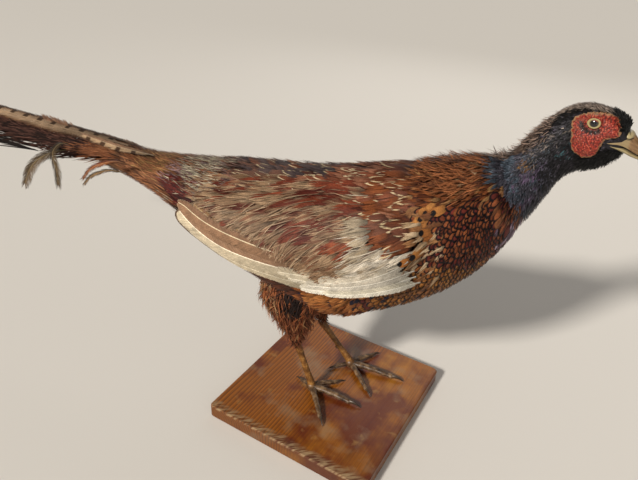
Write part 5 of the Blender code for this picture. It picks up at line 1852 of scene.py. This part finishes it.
fold = node("ValToRGB", node("SeparateXYZ", node("Attribute", attribute_name="fold", out="Vector"),
    out=slice(0, 3))[0], stops=((0.0, "4c4128"), (0.25, "9c8c5c"), (0.55, "aa9a6c"), (0.8, "86603e"),
    (1.0, "4c2016")))
wrinkle = node("TexNoise", node("TexCoord", out="Object"), None, 1500.0, 2.0)
colour = node("VectorMath SCALE", {0: fold, "Scale": node("MapRange", wrinkle, 0.0, 1.0, 0.75, 1.2)})
node("OutputMaterial",
    node("BsdfPrincipled", {"Base Color": colour, "Roughness": 0.5, "Specular IOR Level": 0.4,
    "Normal": node("Bump", {"Height": wrinkle, "Strength": 0.5, "Distance": 0.2 * MM})}))
IRIS = 6.0     # mm over the dome at which the painted colours end
LID_PROFILE = ((-0.30, 0.10), (-0.05, 0.42), (0.25, 0.68), (0.65, 0.76), (1.05, 0.60), (1.45, 0.20),
    (2.0, -0.7))
for side, sign in SIDES:
    centre = turned((EYE_X, sign * EYE_OUT, EYE_Z))
    out = turned((EYE_X + 0.3, sign * (EYE_OUT + 10), EYE_Z + 1.5)) - centre
    out = unit(out)
    right = unit(np.cross(out, (0, 0, 1.0)))
    up = np.cross(right, out)

    def dome_point(angle, turn, radius):
        """A point on a ball round the eye: `angle` from where it looks, `turn` round that line."""
        return centre + radius[..., None] * (
            np.cos(angle)[..., None] * out + np.sin(angle)[..., None]
            * (np.cos(turn)[..., None] * right + np.sin(turn)[..., None] * up))

    angle, turn = np.meshgrid(np.linspace(0.02, 2.1, 40), np.arange(64) / 64 * 2 * np.pi, indexing="ij")
    ball = dome_point(angle, turn, np.full(angle.shape, EYE_RADIUS) + 0.35 * np.exp(-(angle / 0.5) ** 2))
    iris = np.stack([angle * EYE_RADIUS / IRIS, turn / (2 * np.pi) * 40, 0 * turn], -1)
    tip = dome_point(np.zeros(1), np.zeros(1), np.full(1, EYE_RADIUS + 0.35))
    face = [grid_faces(40, 64, True), fan(np.arange(64), 40 * 64)]
    piece("glass_eye_" + side, np.concatenate([ball.reshape(-1, 3), tip]), face, glass, "eye_glass",
        ("eye_" + side,), iris=np.concatenate([iris.reshape(-1, 3), np.zeros((1, 3))]))
    profile = smooth(LID_PROFILE, np.linspace(0, len(LID_PROFILE) - 1, 19))
    k, turn = np.meshgrid(np.arange(19), np.arange(96) / 96 * 2 * np.pi, indexing="ij")
    oval = 1 / np.sqrt((np.cos(turn) / LID_X) ** 2 + (np.sin(turn) / LID_Z) ** 2)
    # the rear corner of the lids is drawn out to a point
    oval = oval + 0.7 * np.exp(-((1 + sign * np.cos(turn)) / 0.10) ** 1.0) * k / 18
    crease = 0.07 * np.sin(turn * 17 + k * 0.5) * np.sin(k / 18 * np.pi)
    spread = np.where(k > 4, 1.15 * np.cos(turn) ** 2 + 0.68 * np.sin(turn) ** 2, 1.0)
    lid = dome_point((oval + profile[k, 0] * spread) / EYE_RADIUS, turn, EYE_RADIUS + profile[k, 1]
        + crease)
    fold_value = np.stack([k / 18.0, turn, 0 * turn], -1).reshape(-1, 3)
    piece("eyelid_" + side, lid, [grid_faces(19, 96, True)], lid_skin, "wattle_skin", fold=fold_value)
print("eyes", 2, "lids", 2)

# %% [markdown]
# ## The bill
#
# Horn over bone: a curved upper half that closes over a thinner lower one. At its base a soft pale
# bulge roofs the nostril. Horn is slightly see-through and polished by wear, so the finish is
# smooth and streaked lengthwise, paler on the lower half and at the root.
# %% Bill
UPPER_BILL = np.array(((195.5, 334.0, 195.5, 332.2, 13.6, 0.25), (198.5, 336.0, 198.5, 332.0, 12.9, 0.15),
    (202, 339.0, 202, 331.7, 11.2, 0.12), (205.5, 341.0, 205.3, 330.7, 9.2, 0.10),
    (208.6, 340.2, 208.6, 329.2, 7.6, 0.10), (212.4, 336.6, 212.4, 327.2, 6.5, 0.12),
    (218, 332.6, 217.5, 325.4, 5.2, 0.15), (224, 328.2, 222.8, 324.2, 3.4, 0.25),
    (227, 324.9, 225.8, 323.0, 1.6, 0.35)))
LOWER_BILL = np.array(((196, 331.4, 196, 330.2, 13.0, 0.85), (199.5, 330.9, 199.5, 328.0, 11.8, 0.88),
    (203.5, 330.2, 203.5, 326.2, 9.8, 0.9), (207.5, 328.7, 207.3, 325.0, 7.8, 0.88),
    (212, 326.6, 211.6, 323.4, 6.2, 0.85), (217.0, 324.8, 216.6, 322.4, 4.7, 0.8),
    (221.6, 323.8, 221.2, 322.0, 2.3, 0.6)))
horn, node = new_finish("bill_horn")
down, round_it, fleshy = node("SeparateXYZ", node("Attribute", attribute_name="horn", out="Vector"),
    out=slice(0, 3))
streaks = node("CombineXYZ", node("Math MULTIPLY", down, 5.0), node("Math MULTIPLY", round_it, 34.0))
streaks = node("TexNoise", streaks, None, 1.0, 3.0)
colour = node("ValToRGB", streaks, stops=((0.28, "442e1a"), (0.5, "765635"), (0.72, "9c7c54")))
# the pale cere, and painted shade: the nostril's slit is painted near black as well as pressed in
for amount, coat in ((fleshy, rgba("a6966e")),
        (node("SeparateXYZ", node("Attribute", attribute_name="slit", out="Vector"), out=slice(0, 3))[0],
        rgba("1c130c"))):
    colour = node("Mix RGBA", {0: amount, 6: colour, 7: coat}, out=2)
node("OutputMaterial",
    node("BsdfPrincipled", {"Base Color": colour, "Roughness": 0.34, "Specular IOR Level": 0.5,
    "Coat Weight": 0.15, "Coat Roughness": 0.2,
    "Normal": node("Bump", {"Height": streaks, "Strength": 0.25, "Distance": 0.3 * MM})}))


def bill_half(name, table, tip, pale):
    """One half of the bill: sections, then a rounded run to the tip."""
    rows, columns, blunt = 84, 72, 9
    at, b = np.meshgrid(np.linspace(0, len(table) - 1, rows), np.arange(columns) / columns, indexing="ij")
    rings = sections(table, at, b)
    fade = np.sin(np.linspace(0, np.pi / 2, blunt + 1)[1:-1])[:, None, None]
    end = np.array(tip) + (rings[-1] - np.array(tip)) * np.sqrt(1 - fade ** 2)
    rings = np.concatenate([rings, end])
    x, y, z = rings[..., 0], rings[..., 1], rings[..., 2]
    high = np.broadcast_to((1 - np.cos(2 * np.pi * np.arange(columns) / columns)) / 2, x.shape)
    ring = np.hypot((x - 207.4) / 2.9, (z - 339.5) / 2.9)
    bulge = np.sqrt(np.clip(1 - ring ** 2, 0, 1))
    # the nostril's slit: pressed into the mesh, and painted dark as painted shade in it
    slit = (np.exp(-((ring - 1.08) / 0.16) ** 2) * ease(-(x - 207.4) * 0.6 - (z - 339.5), 0.0, 1.2)
        * (not pale))
    if not pale:
        y = y + np.sign(y) * (2.0 * bulge - 1.1 * slit)
    length = np.clip((x - 207) / 21, 0, 1)
    value = np.stack([length, high, np.maximum(bulge * (not pale), pale * 0.75) * (1 - slit)
        + 0.5 * ease(0.12 - length, 0, 0.1)], -1)
    points = np.concatenate([turned(np.stack([x, y, z], -1)).reshape(-1, 3), [turned(tip)],
        [turned(rings[0].mean(0))]])
    value = np.concatenate([value.reshape(-1, 3), [[1, 0.5, 0], [0, 0.5, 0]]])
    count = len(rings)
    faces = [grid_faces(count, columns, True),
        np.concatenate([fan((count - 1) * columns + np.arange(columns), count * columns),
        fan(np.arange(columns)[::-1], count * columns + 1)])]
    dark = np.zeros((len(points), 3))
    dark[:x.size, 0] = slit.ravel()
    return piece(name, points, faces, horn, "bill_horn", (name.replace("horn_", "bill_"),), horn=value,
        slit=dark)


bill_half("horn_upper", UPPER_BILL, (228.2, 0.0, 321.8), 0.0)
bill_half("horn_lower", LOWER_BILL, (224.2, 0.0, 322.8), 1.0)
print("bill to x", 228.2)

# %% [markdown]
# ## Bristles and tufts of the head
#
# Short black bristles stand over the bill's root, the chin has a small beard, and loose tufts
# sit behind the red face. They are drawn last because they lie over the other pieces.
# %% Head tufts
def head_zone(low, high, keep):
    def where(a, b, p):
        flat = sections(BODY, row_of(a), b)
        clear = (inside_wattle(flat[:, 0], flat[:, 2]) < 0.3) | (flat[:, 0] < 168)
        clear &= (flat[:, 0] < 198) | (np.abs(flat[:, 2] - GAPE_Z) > 4)
        clear &= (flat[:, 0] < 201) | (flat[:, 2] > 342.5) | (flat[:, 2] < GAPE_Z)
        return clear & (row_of(a) > low) & (row_of(a) < high) & keep(flat, round_up(b))
    return where


BRISTLE = "070606 171514"
TUFTS = (   # rows, where, how many, length, lift, colours, turn
    (19.4, 21.0, lambda f, back: (back > 0.40) & (f[:, 2] > 338.5), 1300, 4.6, 2.3, BRISTLE, 0.6),
    (16.0, 19.9, lambda f, back: (back > 0.90) | ((back > 0.87) & (f[:, 0] > 174)), 2300, 6.0, 1.0,
     "4c3e35 b09e90", 0.22),
    (16.0, 19.6, lambda f, back: back > 0.80, 500, 5.5, 0.9, "120e0c 221b17", 0.3),
    (15.0, 17.2, lambda f, back: (np.abs(back - 0.83) < 0.06) & (f[:, 0] < 176), 900, 6.5, 0.8,
     BRISTLE, 0.25),
    (14.6, 16.6, lambda f, back: (back > 0.90) & (f[:, 0] < 164), 500, 7.5, 2.6, "3a2e28 947c6c", 0.5),
    (17.0, 20.8, lambda f, back: back < 0.36, 1700, 4.4, 1.9, BRISTLE, 0.5),
    (14.6, 18.6, lambda f, back: (back > 0.1) & (back < 0.80), 2200, 4.5, 0.9, "09090a 232024", 0.4),
    (14.8, 16.6, lambda f, back: (back > 0.6) & (back < 0.82), 160, 6.0, 1.2, "3a3230 786c66", 0.5),
    (12.8, 15.6, lambda f, back: (back < 0.75) & (f[:, 0] > 138), 1600, 3.6, 0.8, "26262e 56545f", 0.45),
)
tufts = []
for number, (low, high, keep, count, long, lift, colours, wild) in enumerate(TUFTS):
    rng = np.random.default_rng(200 + number)
    a, b = scatter(body, count, 210 + number, head_zone(low, high, keep),
        (1 - high / HEAD_ROW, 1 - low / HEAD_ROW))
    tufts.append(hairs(body, a, b, rng, 230 + number, lambda r: long * (0.7 + 0.6 * r), 0.55, -0.5,
        lambda r: lift * (0.3 + r), plain_tint(len(a), colours, 220 + number), (0, wild), (0, 0.3),
        curl=0.6))
gather("coat_head_tufts", tufts, head_down, "head_plumage")

# %% [markdown]
# ## Legs and feet
#
# The shank is covered with rows of plates (scutes) about 3 mm across, each foot's toes with bands
# across the top and small grains below. The plates are real relief in the mesh: a point's place
# along and round the limb says how far it is from its plate's edge, and the edge is pressed in.
# The same numbers colour it: the grooves between the plates are darker.
# %% Leg finish
scale_skin, node = new_finish("dried_leg_scales")
plate, on_toe, glue = node("SeparateXYZ", node("Attribute", attribute_name="scute", out="Vector"),
    out=slice(0, 3))
place = node("TexCoord", out="Object")
patchy = node("TexNoise", place, None, 160.0, 3.0)
yellow = node("ValToRGB", patchy, stops=((0.3, "563412"), (0.5, "805424"), (0.7, "a6783e")))
brown = node("ValToRGB", patchy, stops=((0.3, "2a1c13"), (0.5, "553e28"), (0.7, "84694c")))
groove = node("MapRange", plate, 0.0, 0.28, 0.85, 0.0)
colour = yellow
for amount, coat in ((on_toe, brown), (groove, rgba("1d130d")), (glue, rgba("8d8478"))):
    colour = node("Mix RGBA", {0: amount, 6: colour, 7: coat}, out=2)
fine = node("TexNoise", place, None, 1400.0, 1.0)
node("OutputMaterial",
    node("BsdfPrincipled", {"Base Color": colour, "Roughness": 0.45, "Specular IOR Level": 0.45,
    "Coat Weight": 0.08, "Coat Roughness": 0.4,
    "Normal": node("Bump", {"Height": fine, "Strength": 0.3, "Distance": 0.2 * MM})}))
claw_skin, node = new_finish("dark_claw_horn")
colour = node("ValToRGB", node("SeparateXYZ", node("Attribute", attribute_name="scute", out="Vector"),
    out=slice(0, 3))[0], stops=((0.0, "5a4632"), (0.35, "3a2c20"), (1.0, "241a14")))
grain = node("TexNoise", node("TexCoord", out="Object"), None, 900.0, 2.0)
colour = node("VectorMath SCALE", {0: colour, "Scale": node("MapRange", grain, 0.0, 1.0, 0.6, 1.5)})
node("OutputMaterial",
    node("BsdfPrincipled", {"Base Color": colour, "Roughness": 0.38, "Specular IOR Level": 0.5,
    "Coat Weight": 0.1, "Coat Roughness": 0.3}))
print("leg finishes", scale_skin.name, claw_skin.name)

# %% [markdown]
# ## Tubes with plates
#
# `limb` sweeps a ring along a line. Its relief function gets the distance along the limb, the
# angle round it (0 on top or in front) and the radius, and returns how high the skin stands and
# how near the point is to a groove.
# %% Limbs
DECK, ROUND_LIMB = 15.25, 44     # the board's upper face in mm, and the points round a limb


def limb(line, radius, front, relief, flat=1.0, toe=0.0, floor_gap=None, squash=1.0):
    """A capped tube: points, faces and the values of each point."""
    line, radius = np.asarray(line, float), np.asarray(radius, float)
    ahead = unit(np.gradient(line, axis=0))
    front = np.broadcast_to(np.asarray(front, float), line.shape)
    first = unit(front - (front * ahead).sum(-1, keepdims=True) * ahead)
    second = np.cross(ahead, first)
    along = np.append(0, np.cumsum(np.linalg.norm(np.diff(line, axis=0), axis=1)))
    angle = np.arange(ROUND_LIMB) / ROUND_LIMB * 2 * np.pi - np.pi
    s, w = np.meshgrid(along, angle, indexing="ij")
    stand, plate = relief(s, w, radius[:, None])
    wide = (radius[:, None] + stand)[..., None]
    ring = (line[:, None] + first[:, None] * (np.cos(w)[..., None] * wide * squash)
        + second[:, None] * (np.sin(w)[..., None] * wide * flat))
    if floor_gap is not None:
        ring[..., 2] = np.maximum(ring[..., 2], DECK + floor_gap)
    values = np.stack([plate, np.full(s.shape, toe), 0 * s], -1)
    rows = len(line)
    points = np.concatenate([ring.reshape(-1, 3), line[:1], line[-1:]])
    values = np.concatenate([values.reshape(-1, 3), [[1, toe, 0], [1, toe, 0]]])
    ends = np.concatenate([fan(np.arange(ROUND_LIMB)[::-1], rows * ROUND_LIMB),
        fan((rows - 1) * ROUND_LIMB + np.arange(ROUND_LIMB), rows * ROUND_LIMB + 1)])
    return points, [grid_faces(rows, ROUND_LIMB, True), ends], values


def hexes(s, w, radius, pitch, seed=0.0):
    """How far a point is from the edge of its hexagonal plate: 0 on the edge, 1 in the middle."""
    x, y = s / pitch, w * radius / pitch
    best = np.full(x.shape, 9.0)
    second = np.full(x.shape, 9.0)
    row = np.round(x / 0.87)
    for di in (-1, 0, 1):
        r = row + di
        shift = 0.5 * np.mod(r, 2)
        column = np.round(y - shift)
        for dj in (-1, 0, 1):
            cx = r * 0.87 + 0.10 * np.sin(r * 12.9 + (column + dj) * 7.7 + seed)
            cy = column + dj + shift + 0.10 * np.sin(r * 5.1 + (column + dj) * 3.3 + seed)
            far = np.hypot(x - cx, y - cy)
            second = np.where(far < best, best, np.minimum(second, far))
            best = np.minimum(best, far)
    return np.clip((second - best) * 1.6, 0, 1)


def bands(s, pitch, lean=0.0):
    """Cross bands: 0 in the grooves, 1 in the middle."""
    phase = np.mod(s / pitch + lean, 1.0)
    return np.clip(np.minimum(phase, 1 - phase) * 5, 0, 1)


def shank_relief(s, w, radius):
    front = np.exp(-(w / 1.5) ** 4)
    big = hexes(s, w, radius, 3.3)
    small = hexes(s, w, radius, 1.6, 2.0)
    cell = big * front + small * (1 - front)
    return 0.34 * np.sqrt(cell) * (0.5 + 0.5 * front) - 0.2, cell


def toe_relief(s, w, radius):
    top = np.exp(-(w / 1.25) ** 4)
    across = bands(s, 2.7)
    grain = hexes(s, w, radius, 1.25, 1.0)
    cell = across * top + grain * (1 - top)
    return 0.36 * np.sqrt(cell) * (0.45 + 0.55 * top) - 0.22, cell


def pad_relief(s, w, radius):
    cell = hexes(s, w, 5 + 0 * radius, 1.9, 4.0)
    return 0.25 * np.sqrt(cell) - 0.1, cell


def plain_relief(s, w, radius):
    return 0 * s * w, np.ones(s.shape) * w ** 0


def joined(parts):
    """Points, faces and values of several parts as one mesh."""
    first, quads, tris = 0, [], []
    for points, faces, _ in parts:
        quads.append(faces[0] + first)
        tris.append(faces[1] + first)
        first += len(points)
    return (np.concatenate([p[0] for p in parts]), [np.concatenate(quads), np.concatenate(tris)],
        np.concatenate([p[2] for p in parts]))


# %% [markdown]
# ## The two feet
#
# Each foot has three toes forward and one behind, set where the old glue holds them on the board.
# The claws are thin, slightly hooked cones, worn blunt. The knuckle where the toes meet is a pad.
# %% Legs
FEET = {   # hock, knuckle on the board (x, y), the tips of the middle, outer, inner and hind toe
    "right": ((-33.2, -27.2, 76.0), (-16.0, -24.0), ((30, -27.5), (9, -60), (6, -5), (-31, -18)), -1),
    "left": ((-28.0, 27.5, 68.0), (10.0, 28.0), ((61, 28), (29, 54), (40, -3), (-5, 16)), 1)}
TOE_R, CLAW_LONG = (3.6, 3.0, 2.9, 2.3), (11.0, 9.0, 9.0, 7.0)
for side, (hock, knuckle_xy, tips, sign) in FEET.items():
    hock, knuckle = np.array(hock), np.array([*knuckle_xy, DECK + 6.5])
    down = unit(knuckle - hock)
    lean = math.sqrt(max(0.0, 1 - down[2] ** 2))
    top = hock + down * ((0.5 + 4.3 * lean) / -down[2]) - down * 3.0
    t = np.linspace(0, 1.04, 150)
    line = top + (knuckle - top) * t[:, None]
    radius = np.interp(t, (0, 0.15, 0.4, 0.7, 0.9, 1.04), (4.3, 3.9, 3.3, 3.4, 4.2, 4.4))
    parts = [limb(line, radius, (1.0, 0, 0.25), shank_relief, flat=0.88)]
    # the spur, a blunt cone on the inside of the shank
    root = top + (knuckle - top) * 0.66
    way = unit(np.array([-1.0, -0.25 * sign, 0.1]))
    parts.append(limb(root + way * np.linspace(0, 6.6, 16)[:, None],
        np.interp(np.linspace(0, 1, 16), (0, 0.5, 0.9, 1), (2.6, 2.1, 1.1, 0.4)), (0, 0, 1.0),
        plain_relief, toe=0.6))
    # the pad over the toes' roots
    pad_foot = np.array([*knuckle_xy, DECK + 0.9])
    pad_line = pad_foot + np.array([0, 0, 1.0]) * np.linspace(0, 9.2, 24)[:, None]
    pad = 5.6 * np.sqrt(np.clip(1 - (np.linspace(-0.62, 1, 24)) ** 2, 0.02, 1))
    parts.append(limb(pad_line, pad, (1.0, 0, 0), pad_relief, toe=0.6))
    for number, (tip, toe_r, long) in enumerate(zip(tips, TOE_R, CLAW_LONG)):
        forward = number < 3
        start = np.array([*knuckle_xy, DECK + 4.6])
        end = np.array([*tip, DECK + 0.8 * toe_r])
        away = unit(np.array([*(np.array(tip) - knuckle_xy), 0.0]))
        root = start - away * 2
        t = np.linspace(0, 1, 110 if forward else 60)
        pads = 1 + 0.09 * np.cos(t * (4 if forward else 2) * 2 * np.pi)
        radius = toe_r * (1.12 - 0.34 * t) * pads
        line = root + (end - root) * t[:, None]
        line[:, 2] += (1.6 if forward else 0.5) * np.sin(np.pi * t)
        line[:, 2] = np.maximum(line[:, 2], DECK + 0.87 * radius)
        taper = np.concatenate([radius[:-4], radius[-4] * np.array([0.93, 0.8, 0.55, 0.2])])
        parts.append(limb(line, taper, (0, 0, 1.0), toe_relief, flat=1.06, toe=1.0, floor_gap=0.02,
            squash=0.86))
        t = np.linspace(0, 1, 40)
        r_end = radius[-1]
        tail = end + away * (-1.2 + (long + 2.2) * t[:, None])
        width = r_end * 0.80 * (1 - 0.86 * t ** 1.2)
        tail[:, 2] = (DECK + 0.5 + (line[-1, 2] - DECK - 0.1) * np.cos(t * np.pi / 2) ** 0.8
            + 0.9 * np.sin(np.pi * t))
        tail[:, 2] = np.maximum(tail[:, 2], DECK + width + 0.05)
        ends = np.concatenate([width[:-3], width[-3] * np.array([0.75, 0.45, 0.15])])
        claw = limb(tail, ends, (0, 0, 1.0), plain_relief, flat=0.78)
        claw[2][:-2, 0] = np.repeat(t, ROUND_LIMB)
        piece(f"nail_{side}_{number + 1}", claw[0], claw[1], claw_skin, "claw_horn",
            (f"claw_{side}_{number + 1}",), scute=claw[2])
    points, faces, values = joined(parts)
    # grey glue shows where the toes were fixed
    near = ease(3.4 - (points[:, 2] - DECK)
        + 0.9 * np.sin(points[:, 0] * 0.9) * np.sin(points[:, 1] * 1.1), 0.6, 2.2)
    values[:, 2] = near * 0.55
    piece("shank_and_toes_" + side, points, faces, scale_skin, "leg_scale", ("leg_" + side,), scute=values)
print("feet", list(FEET))

# %% [markdown]
# ## The pine board
#
# A slice of pine plank with its grain across the bird's heading, its arrises planed off, stained
# and varnished long ago. The grain is drawn as growth rings: distances from a pith line that runs
# along the plank below it, 3.3 mm a ring, each with pale early wood that ends in a thin dark line
# of late wood. Reddish stains, a grey haze and rubbed places lie over it, and along one side the
# varnish has worn off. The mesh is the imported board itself; only the finish is new.
# %% Board finish
GRAIN_TURN = math.radians(9.0)     # the plank's grain against the board's side
PITH_BEHIND, PITH_BELOW, RING = 0.150, 0.060, 0.0033     # metres
BOARD_HALF = 0.093     # half the board's width across the bird's heading, in metres
board = nodes["base_board"]
pine, node = new_finish("varnished_pine_board")
turn = node("VectorRotate Z_AXIS", {"Vector": node("TexCoord", out="Object"), "Angle": GRAIN_TURN})
x, y, z = node("SeparateXYZ", turn, out=slice(0, 3))
# growth rings round the pith, which lies so far off that no ring closes on the top
off_pith = node("CombineXYZ", node("Math ADD", x, PITH_BEHIND), node("Math ADD", z, PITH_BELOW))
far = node("VectorMath LENGTH", off_pith, out="Value")
warp = node("Math SUBTRACT", node("TexNoise", node("VectorMath MULTIPLY", turn, (9.0, 2.2, 20.0)), None,
    1.0, 2.0), 0.5)
far = node("Math ADD", far, node("Math MULTIPLY", warp, 0.040))
ring = node("Math FRACT", node("Math MULTIPLY", far, 1 / RING))
wood = node("ValToRGB", ring, stops=(
    (0.0, "965613"), (0.4, "8a4e11"), (0.74, "76420f"), (0.9, "5a2e0b"), (0.97, "844910")))
# ahead of the toes the figure is broad and golden, and only traces of the rings show through
figure = node("TexNoise", node("VectorMath MULTIPLY", turn, (60.0, 9.0, 60.0)), None, 1.0, 2.0)
quiet = node("MapRange", node("Math ADD", x, node("Math MULTIPLY", figure, 0.10)), 0.04, 0.09, 0.0, 0.75)
golden = node("ValToRGB", figure, stops=((0.35, "6c3a0e"), (0.5, "8e5414"), (0.65, "a4691c")))
fibre = node("TexNoise", node("VectorMath MULTIPLY", turn, (900.0, 25.0, 900.0)), None, 1.0, 3.0)
wood = node("VectorMath SCALE",
    {0: node("Mix RGBA", {0: quiet, 6: wood, 7: golden}, out=2),
    "Scale": node("MapRange", fibre, 0.3, 0.7, 0.82, 1.15)})
# red stains, a grey haze in the varnish, and rubbed places
haze_place = node("VectorMath ADD", turn, (0.31, 0.12, 0.0))
scuff = node("TexNoise", turn, None, 70.0, 4.0)
for noise, low, high, most, tone in (
        (node("TexNoise", turn, None, 24.0, 3.0), 0.48, 0.62, 0.8, "561a09"),
        (node("TexNoise", haze_place, None, 30.0, 4.0), 0.54, 0.68, 0.5, "8c745a"),
        (scuff, 0.62, 0.74, 0.5, "a27a44")):
    wood = node("Mix RGBA", {0: node("MapRange", noise, low, high, 0.0, most), 6: wood, 7: rgba(tone)},
        out=2)
# along the long side at the bird's right the varnish has darkened, crazed and worn off
low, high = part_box("base_board")
middle_x, middle_y = (low[0] + high[0]) / 2, (low[1] + high[1]) / 2
middle_across = math.cos(GRAIN_TURN) * middle_y + math.sin(GRAIN_TURN) * middle_x
from_edge = node("Math ADD", node("Math ADD", y, BOARD_HALF - middle_across),
    node("Math MULTIPLY", scuff, -0.008))
worn = node("MapRange", from_edge, 0.001, 0.007, 1.0, 0.0)
slanting = node("VectorRotate Z_AXIS", {"Vector": turn, "Angle": math.radians(50.0)})
crazed = node("MapRange", node("TexNoise", node("VectorMath MULTIPLY", slanting, (420.0, 60.0, 60.0)),
    None, 1.0, 3.0), 0.45, 0.6)
streaks = node("Math MULTIPLY", node("Math MULTIPLY", worn, crazed), node("MapRange", z, 0.0125, 0.0145))
for amount, coat in ((node("Math MULTIPLY", worn, 0.45), rgba("3c2413")),
        (node("Math MULTIPLY", streaks, 0.7), rgba("a88c66"))):
    wood = node("Mix RGBA", {0: amount, 6: wood, 7: coat}, out=2)
gloss = node("Math ADD", node("MapRange", scuff, 0.0, 1.0, 0.25, 0.55), node("Math MULTIPLY", worn, 0.4))
height = node("Math ADD", node("Math MULTIPLY", fibre, 0.5), node("Math MULTIPLY", ring, -0.3))
node("OutputMaterial",
    node("BsdfPrincipled", {"Base Color": wood, "Roughness": gloss, "Specular IOR Level": 0.5,
    "Coat Roughness": 0.18, "Coat Weight": node("MapRange", worn, 0.0, 1.0, 0.18, 0.0),
    "Normal": node("Bump", {"Height": height, "Strength": 0.25, "Distance": 0.4 * MM})}))
board.data.materials.clear()
board.data.materials.append(pine)
print("board", board.name, "faces", len(board.data.polygons))
